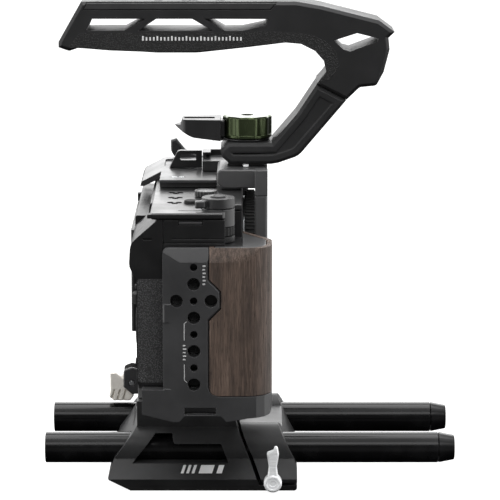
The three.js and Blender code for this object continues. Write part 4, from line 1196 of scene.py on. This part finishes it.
    def dials(self) -> None:
        """Refines the controls, and knurls the thumb dial."""
        self.refine("dial_seat", SHELL, 0.3)
        self.refine("dial_tower", DECK, 0.3)
        self.refine("front_dial", RUBBER, 0.12, "front_dial")
        self.refine("zoom_ring", DECK, 0.4, "zoom_ring")
        self.refine("shutter_button", DECK, 0.3, "shutter_button", shaped=self.dish)
        self.refine("mode_dial", DECK, 0.12, "mode_dial", shaped=self.dish)
        low, high = self.pointer_rise
        pointer = self.on_deck("pointer", self.pointer, -low, high)
        self.add("mode_pointer", [pointer], PRINT, 0.0, "mode_dial")
        self.refine("record_button", RUBBER, 0.3, "record_button", shaped=self.dish)
        self.thumb_wheel()

    def dish(self, piece: Shape) -> None:
        """Dishes a control's top."""
        top = max(vertex.co.z for vertex in piece.data.vertices) - 2e-5
        crest = lambda face: face.normal.z > LOOKS and face.calc_center_median().z > top
        if Bench.faces(piece, crest):
            Bench.inset(*self.dish_steps)

    def lens_cap(self) -> None:
        """Builds the ribbed body cap in the plain cap's place."""
        x, y, z = self.lens
        back, front = self.cap_span
        rim = z + self.cap_radius
        middle = ((front + back) / 2, y, z)
        radius = self.cap_radius - self.rib_root / 2
        cap = Bench.drum("cap", middle, radius, front - back, Axis.X, 72)
        Bench.step(cap, BACK, self.cap_back)
        Bench.step(cap, FRONT, *self.cap_front)
        low = (back + self.rib_ends[0], y - self.rib_half, rim - self.rib_root)
        high = (front - self.rib_ends[1], y + self.rib_half, rim - self.rib_tip)
        rib = Bench.block("rib", low, high)
        Bench.facing(rib, (0.0, 0.0, 1.0))
        bpy.ops.transform.resize(value=self.rib_taper)
        Bench.leave()
        ribs = Bench.wheel(rib, "ribs", self.lens, FRONT, self.cap_ribs)
        body = self.add("body_cap_disc", [cap], RUBBER, 0.25, "body_cap")
        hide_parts("body_cap")
        self.add("body_cap_ribs", [ribs], RUBBER, 0.0, "body_cap")

    def build(self) -> None:
        """Refines the camera's parts and adds its details."""
        self.shells()
        self.covering()
        self.back_controls()
        self.dials()
        self.lens_cap()
        self.refine("camera_grip", RUBBER, 0.5)
        self.refine("lens_mount_ring", STEEL, 0.3)
        self.keep(GLASS, "sensor_stack")
        self.keep(BOARD, "main_board")
        self.keep(RUBBER, "battery")
        self.refine("screen_frame", SHELL, 0.4, "screen")
        self.refine("screen_glass", GLASS, 0.1, "screen")
        self.keep(STEEL, "screen_hinge_pin")
        self.refine("port_cover", RUBBER, 0.4, "port_cover")


@dataclass(frozen=True)
class Ticks:
    """An upright row of ticks; each second one is longer."""

    count: int
    x: Flat
    z: float
    pitch: float
    height: float
    longer: float = 0.3


@dataclass
class Cage(Assembly):
    """The metal cage and the wooden grip cover."""

    face: float = -90.0
    plate_top: float = 147.6
    crown: float = 121.3
    ink: float = 0.06
    inlay: float = 0.3
    bracket: Flat = (-30.65, -30.3)
    bracket_spans: tuple[Flat, ...] = ((84.6, 92.4), (65.8, 73.2))
    hook_end: float = -29.3
    hook_half: float = 0.17
    hooks: tuple[Flat, ...] = ((92.4, 1.1), (65.8, -1.1))
    ticks: tuple[Ticks, ...] = (
        Ticks(5, (-31.1, -29.9), 75.2, 1.65, 0.6),
        Ticks(6, (-21.9, -20.7), 110.8, 1.7, 0.7),
    )
    strap: Patch = Patch((-30.6, -15.9), (49.2, 52.3), 2.0, 8.0, 0.4)
    plate_screws: Flat = (-36.9, -33.6)
    plate_screw_y: float = -5.7
    pocket: Flat = (1.9, 1.6)
    recess: tuple[Flat, Flat] = ((-43.0, -26.0), (28.0, 52.0))
    recess_depth: float = 0.8
    far_hole: Flat = (-7.0, 60.7)
    far_heights: range = range(70, 127, 8)
    far_radii: Flat = (1.8, 3.0)
    far_length: float = 12.0

    def on_panel(self, name: str, x: Flat, z: Flat) -> Shape:
        """A line of print that is let into the panel's face."""
        return Patch(x, z, 0.0, self.inlay).lay(name, self.face)

    def print_marks(self) -> None:
        """Prints plain bracket lines and ticks beside the panel's holes."""
        lines = [self.on_panel("line", self.bracket, span) for span in self.bracket_spans]
        for z, rise in self.hooks:
            span = (z - self.hook_half, z + self.hook_half)
            hook = self.on_panel("hook", (self.bracket[0], self.hook_end), span)
            lines.append(Bench.push(hook, FRONT, (0.0, 0.0, rise)))
        for row in self.ticks:
            for index in range(row.count):
                z = row.z + row.pitch * index
                ends = (row.x[0], row.x[1] + row.longer * (index % 2))
                lines.append(self.on_panel("tick", ends, (z, z + row.height)))
        self.add("panel_print", lines, PRINT, 0.0)

    def shave(self, piece: Shape) -> None:
        """Sets the panel's face back by the thickness of its print."""
        outer = (self.face + 0.01) * MM
        if Bench.faces(piece, lambda f: f.normal.y < -LOOKS and f.calc_center_median().y < outer):
            bpy.ops.transform.translate(value=(0.0, self.ink * MM, 0.0))

    def screw(self, name: str, at: Point, radius: float = 1.5) -> None:
        """Sets a socket screw with its head up.

        Args:
            name: The piece's name.
            at: The middle of its head's top.
            radius: Its head's radius.
        """
        x, y, z = at
        head = Bench.drum("head", (x, y, z - 0.5), radius, 1.0)
        Bench.carve(head, Bench.drum("socket", at, radius * 0.5, 1.2, sides=6))
        self.add(name, [head], STEEL, 0.15)

    def top_plate(self) -> None:
        """Refines the top plate, with its recess and two sunk screws."""
        top, y = self.plate_top, self.plate_screw_y
        tools = [Bench.drum("pocket", (x, y, top), *self.pocket) for x in self.plate_screws]
        (rear, front), (near, far) = self.recess
        low, high = (rear, near, top - self.recess_depth), (front, far, top + REACH)
        tools.append(Bench.slot("recess", low, high, radius=2.0))
        self.refine("cage_top_plate", GREY, 0.5, tools=tools)
        for index, x in enumerate(self.plate_screws):
            self.screw(f"plate_screw_{index + 1}", (x, y, top + 0.1))

    def far_plate(self) -> None:
        """Refines the far plate, with a column of small and large holes."""
        x, y = self.far_hole
        holes = []
        for index, z in enumerate(self.far_heights):
            radius = self.far_radii[index % 2]
            holes.append(Bench.drum("hole", (x, y, z), radius, self.far_length, Axis.Y, 20))
        self.refine("cage_far_plate", DULL, 0.4, tools=holes)

    def build(self) -> None:
        """Refines the cage's parts and adds its screws and print."""
        for node in ("cage_floor", "cold_shoe"):
            self.refine(node, GREY, 0.35)
        # These wear the lighter copy of the grey anodising, painted light for the light on their faces.
        for node in ("grip_backing", "cage_front_column", "handle_mount_block"):
            self.refine(node, LIT_GREY, 0.35)
        strap = self.strap.lay("strap", self.face)
        creases = (self.crown,)
        self.refine("cage_side_panel", GREY, 0.3, None, [strap], self.shave, 16.0, creases)
        self.top_plate()
        self.far_plate()
        self.refine("grip_wood", WALNUT, 0.35, creases=creases)
        self.refine("strap_loop", BLACK, 0.4)
        self.refine("handle_shim", BLACK, 0.2)
        self.refine("handle_locating_pin", SILVER, 0.2)
        self.print_marks()


@dataclass
class Handle(Assembly):
    """The top handle with its clamp knob."""

    top: float = 234.2
    half: float = 14.0
    strut_area: float = 2e-4
    strut_steps: tuple[Flat, ...] = ((2.6, 0.0), (0.5, -0.5))
    slots: tuple[Flat, ...] = ((-46.4, -42.0), (-33.3, -25.1), (-16.9, -12.1))
    slot_rows: tuple[Point, ...] = ((0.0, 2.4, 3.0), (-8.6, 1.2, 2.0), (8.6, 1.2, 2.0))
    holes: tuple[float, ...] = (-66.0, -58.5, -51.7, -37.6, -21.7, -7.6, 4.0)
    hole: Flat = (1.6, 6.0)
    skin_low: tuple[Flat, ...] = (
        *((-87.8, 212.2), (-79.6, 211.7), (-67.5, 210.7), (-48.2, 210.0), (-28.9, 210.2)),
        *((-16.9, 211.0), (-4.8, 212.3), (5.8, 213.6), (16.4, 214.6), (24.6, 213.9)),
        *((31.4, 210.5), (35.7, 205.6), (37.0, 199.8), (32.4, 194.7)),
    )
    skin_high: tuple[Flat, ...] = (
        *((-82.4, 218.7), (-78.0, 219.2), (-67.4, 219.2), (-48.2, 219.2), (-28.9, 219.2)),
        *((-16.9, 219.2), (-5.8, 219.4), (6.7, 220.2), (19.3, 219.4), (29.4, 218.5)),
        *((36.6, 215.1), (41.5, 210.2), (43.2, 203.2), (38.7, 196.7)),
    )
    skin_sink: float = 0.1
    skin_depth: float = 0.24
    ticks: int = 28
    tick_start: Flat = (-52.0, 215.5)
    tick_pitch: float = 1.75
    tick_width: float = 0.75
    tick_heights: Flat = (1.7, 2.2)
    tick_reach: Flat = (0.2, 0.05)
    bridge: tuple[Point, Point] = ((-15.9, -4.4, 166.9), (-12.4, 4.4, 175.4))

    def panel(self, piece: Shape) -> None:
        """Sinks a panel in each side of the strut."""
        for _, sign in SIDES:
            wide = lambda f: f.normal.y * sign > LOOKS and f.calc_area() > self.strut_area
            if Bench.faces(piece, wide):
                Bench.inset(*self.strut_steps)

    def openings(self) -> list[Shape]:
        """The tools for the slots and the holes in the handle's top."""
        tools = []
        for middle, half, depth in self.slot_rows:
            for rear, front in self.slots:
                low = (rear, middle - half, self.top - depth)
                tools.append(Bench.slot("slot", low, (front, middle + half, self.top + REACH)))
        drills = [Bench.drum("hole", (x, 0.0, self.top), *self.hole, sides=20) for x in self.holes]
        return tools + drills

    def skins(self) -> None:
        """Lays the dark dimpled skin along both sides of the handle."""
        for side, sign in SIDES:
            y = sign * (self.half - self.skin_sink)
            lines = (self.skin_low, self.skin_high)
            skin = Bench.skin(f"skin_{side}", *lines, y, sign * self.skin_depth)
            self.add(f"handle_skin_{side}", [skin], SKIN, 0.1)

    def tick_marks(self) -> None:
        """Prints a plain row of ticks along the handle's near side."""
        out, into = -self.half - self.tick_reach[0], -self.half + self.tick_reach[1]
        start, z = self.tick_start
        low, high = self.tick_heights
        ticks = []
        for index in range(self.ticks):
            x = start + self.tick_pitch * index
            top = z + (low if index % 4 else high)
            ticks.append(Bench.block("tick", (x, out, z), (x + self.tick_width, into, top)))
        self.add("handle_ticks", ticks, WHITE, 0.0)

    def build(self) -> None:
        """Refines the handle's parts and adds its slots, skins, bridge and print."""
        self.refine("handle_strut", FRAME, 0.5, shaped=self.panel)
        self.refine("handle_frame", FRAME, 0.5, tools=self.openings())
        self.skins()
        self.tick_marks()
        self.refine("handle_palm_pad", RUBBER, 0.3)
        for side, _ in SIDES:
            self.refine(f"handle_strip_{side}", STRIP, 0.25)
        self.keep(STEEL, "handle_bolt")
        self.refine("handle_knob", GREEN, 0.3, "clamp_knob")
        self.refine("handle_knob_lever", BLACK, 0.4, "clamp_knob")
        bridge = Bench.slot("bridge", *self.bridge, Axis.X, 0.8)
        self.add("knob_lever_bridge", [bridge], BLACK, 0.15, "clamp_knob")
        self.keep(STEEL, "handle_stud")


# ---------------------------------------------------------------- studio
@dataclass(frozen=True)
class Lamp:
    """A rectangular soft light that looks at a point."""

    name: str
    at: Point
    aim: Point
    size: Flat
    power: float

    def hang(self) -> None:
        """Hangs the light."""
        data = bpy.data.lights.new(self.name, "AREA")
        data.shape = "RECTANGLE"
        data.size, data.size_y = self.size
        data.energy = self.power
        lamp = bpy.data.objects.new(self.name, data)
        bpy.context.scene.collection.objects.link(lamp)
        lamp.location = self.at
        lamp.rotation_euler = (Vector(self.aim) - Vector(self.at)).to_track_quat("-Z", "Y").to_euler()


@dataclass
class Studio:
    """The floor, the lights and the camera."""

    eye: Point = (0.0, -1.27905, 0.35409)
    tilt: float = 79.2
    lens: float = 189.5
    sensor: float = 36.0
    sight: float = 60.0
    floor_size: float = 24.0
    front_glow: float = 0.22
    lamps: tuple[Lamp, ...] = (
        Lamp("front_high", (0.1, -1.25, 1.15), (0.0, 0.0, 0.12), (1.5, 0.5), 11.0),
        Lamp("overhead", (-0.1, 0.25, 1.3), (0.0, 0.0, 0.1), (1.3, 0.9), 16.0),
        Lamp("left_strip", (-1.2, -0.8, 0.65), (0.0, 0.0, 0.12), (0.3, 1.1), 6.0),
        Lamp("right_strip", (1.1, -0.9, 0.6), (0.0, 0.0, 0.12), (0.3, 1.0), 5.0),
    )

    def light_room(self) -> None:
        """Lights the room: a glow round the horizon, a bright wall behind and a dark floor."""
        world = bpy.data.worlds.new("studio")
        room = Recipe(world)
        white = (1.0, 1.0, 1.0, 1.0)
        way = room.node("ShaderNodeTexCoord", output="Generated")
        split = room.node("ShaderNodeSeparateXYZ", None, {0: way})
        outputs = split.socket.node.outputs
        side, depth, rise = (Signal(room, outputs[axis]) for axis in "XYZ")
        level = rise.between(-0.42, -0.22) * rise.between(0.05, 0.20, 1.0, 0.0)
        ahead = depth.between(-0.75, -0.3, self.front_glow, 1.0)
        horizon = level * ahead * depth.between(0.8, 0.93, 1.0, 0.12)
        wall = depth.between(0.0, 0.6) * rise.between(0.03, 0.15)
        wall = wall * rise.between(0.55, 0.8, 1.0, 0.0)
        flanks = abs(side).between(0.82, 0.95) * rise.between(-0.3, -0.1)
        flanks = flanks * rise.between(0.4, 0.7, 1.0, 0.0)
        ceiling = rise.between(0.70, 0.9)
        fill = rise.between(-0.2, 0.1)
        glow = horizon * 1.1 + wall * 3.6 + flanks * 1.3 + ceiling * 1.9 + fill * 0.10
        lit = room.node("ShaderNodeBackground", None, {"Color": white, "Strength": glow})
        room.node("ShaderNodeOutputWorld", None, {"Surface": lit})
        bpy.context.scene.world = world

    def build(self) -> None:
        """Sets up the studio."""
        Bench.clear()
        bpy.ops.mesh.primitive_grid_add(x_subdivisions=4, y_subdivisions=4, size=self.floor_size)
        floor = Bench.settle("floor")
        floor.data.materials.append(Floor("floor", "floor").material())
        floor.visible_glossy = False
        floor.visible_diffuse = False
        for lamp in self.lamps:
            lamp.hang()
        self.light_room()
        data = bpy.data.cameras.new("camera")
        data.lens = self.lens
        data.sensor_width = self.sensor
        data.clip_end = self.sight
        camera = bpy.data.objects.new("camera", data)
        bpy.context.scene.collection.objects.link(camera)
        camera.location = self.eye
        camera.rotation_euler = (math.radians(self.tilt), 0.0, 0.0)
        bpy.context.scene.camera = camera
        bpy.context.scene.view_settings.view_transform = "Standard"


def main() -> None:
    """Builds the rig's looks in order and reports each piece."""
    logging.basicConfig(level=logging.INFO, format="%(message)s")
    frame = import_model()
    NODES.update(frame["nodes"])
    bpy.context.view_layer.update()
    Studio().build()
    for assembly in (Rods(), Baseplate(), Camera(), Cage(), Handle()):
        LOG.info("building %s", type(assembly).__name__)
        assembly.build()
    Bench.clear()


if __name__ == "__main__":
    main()
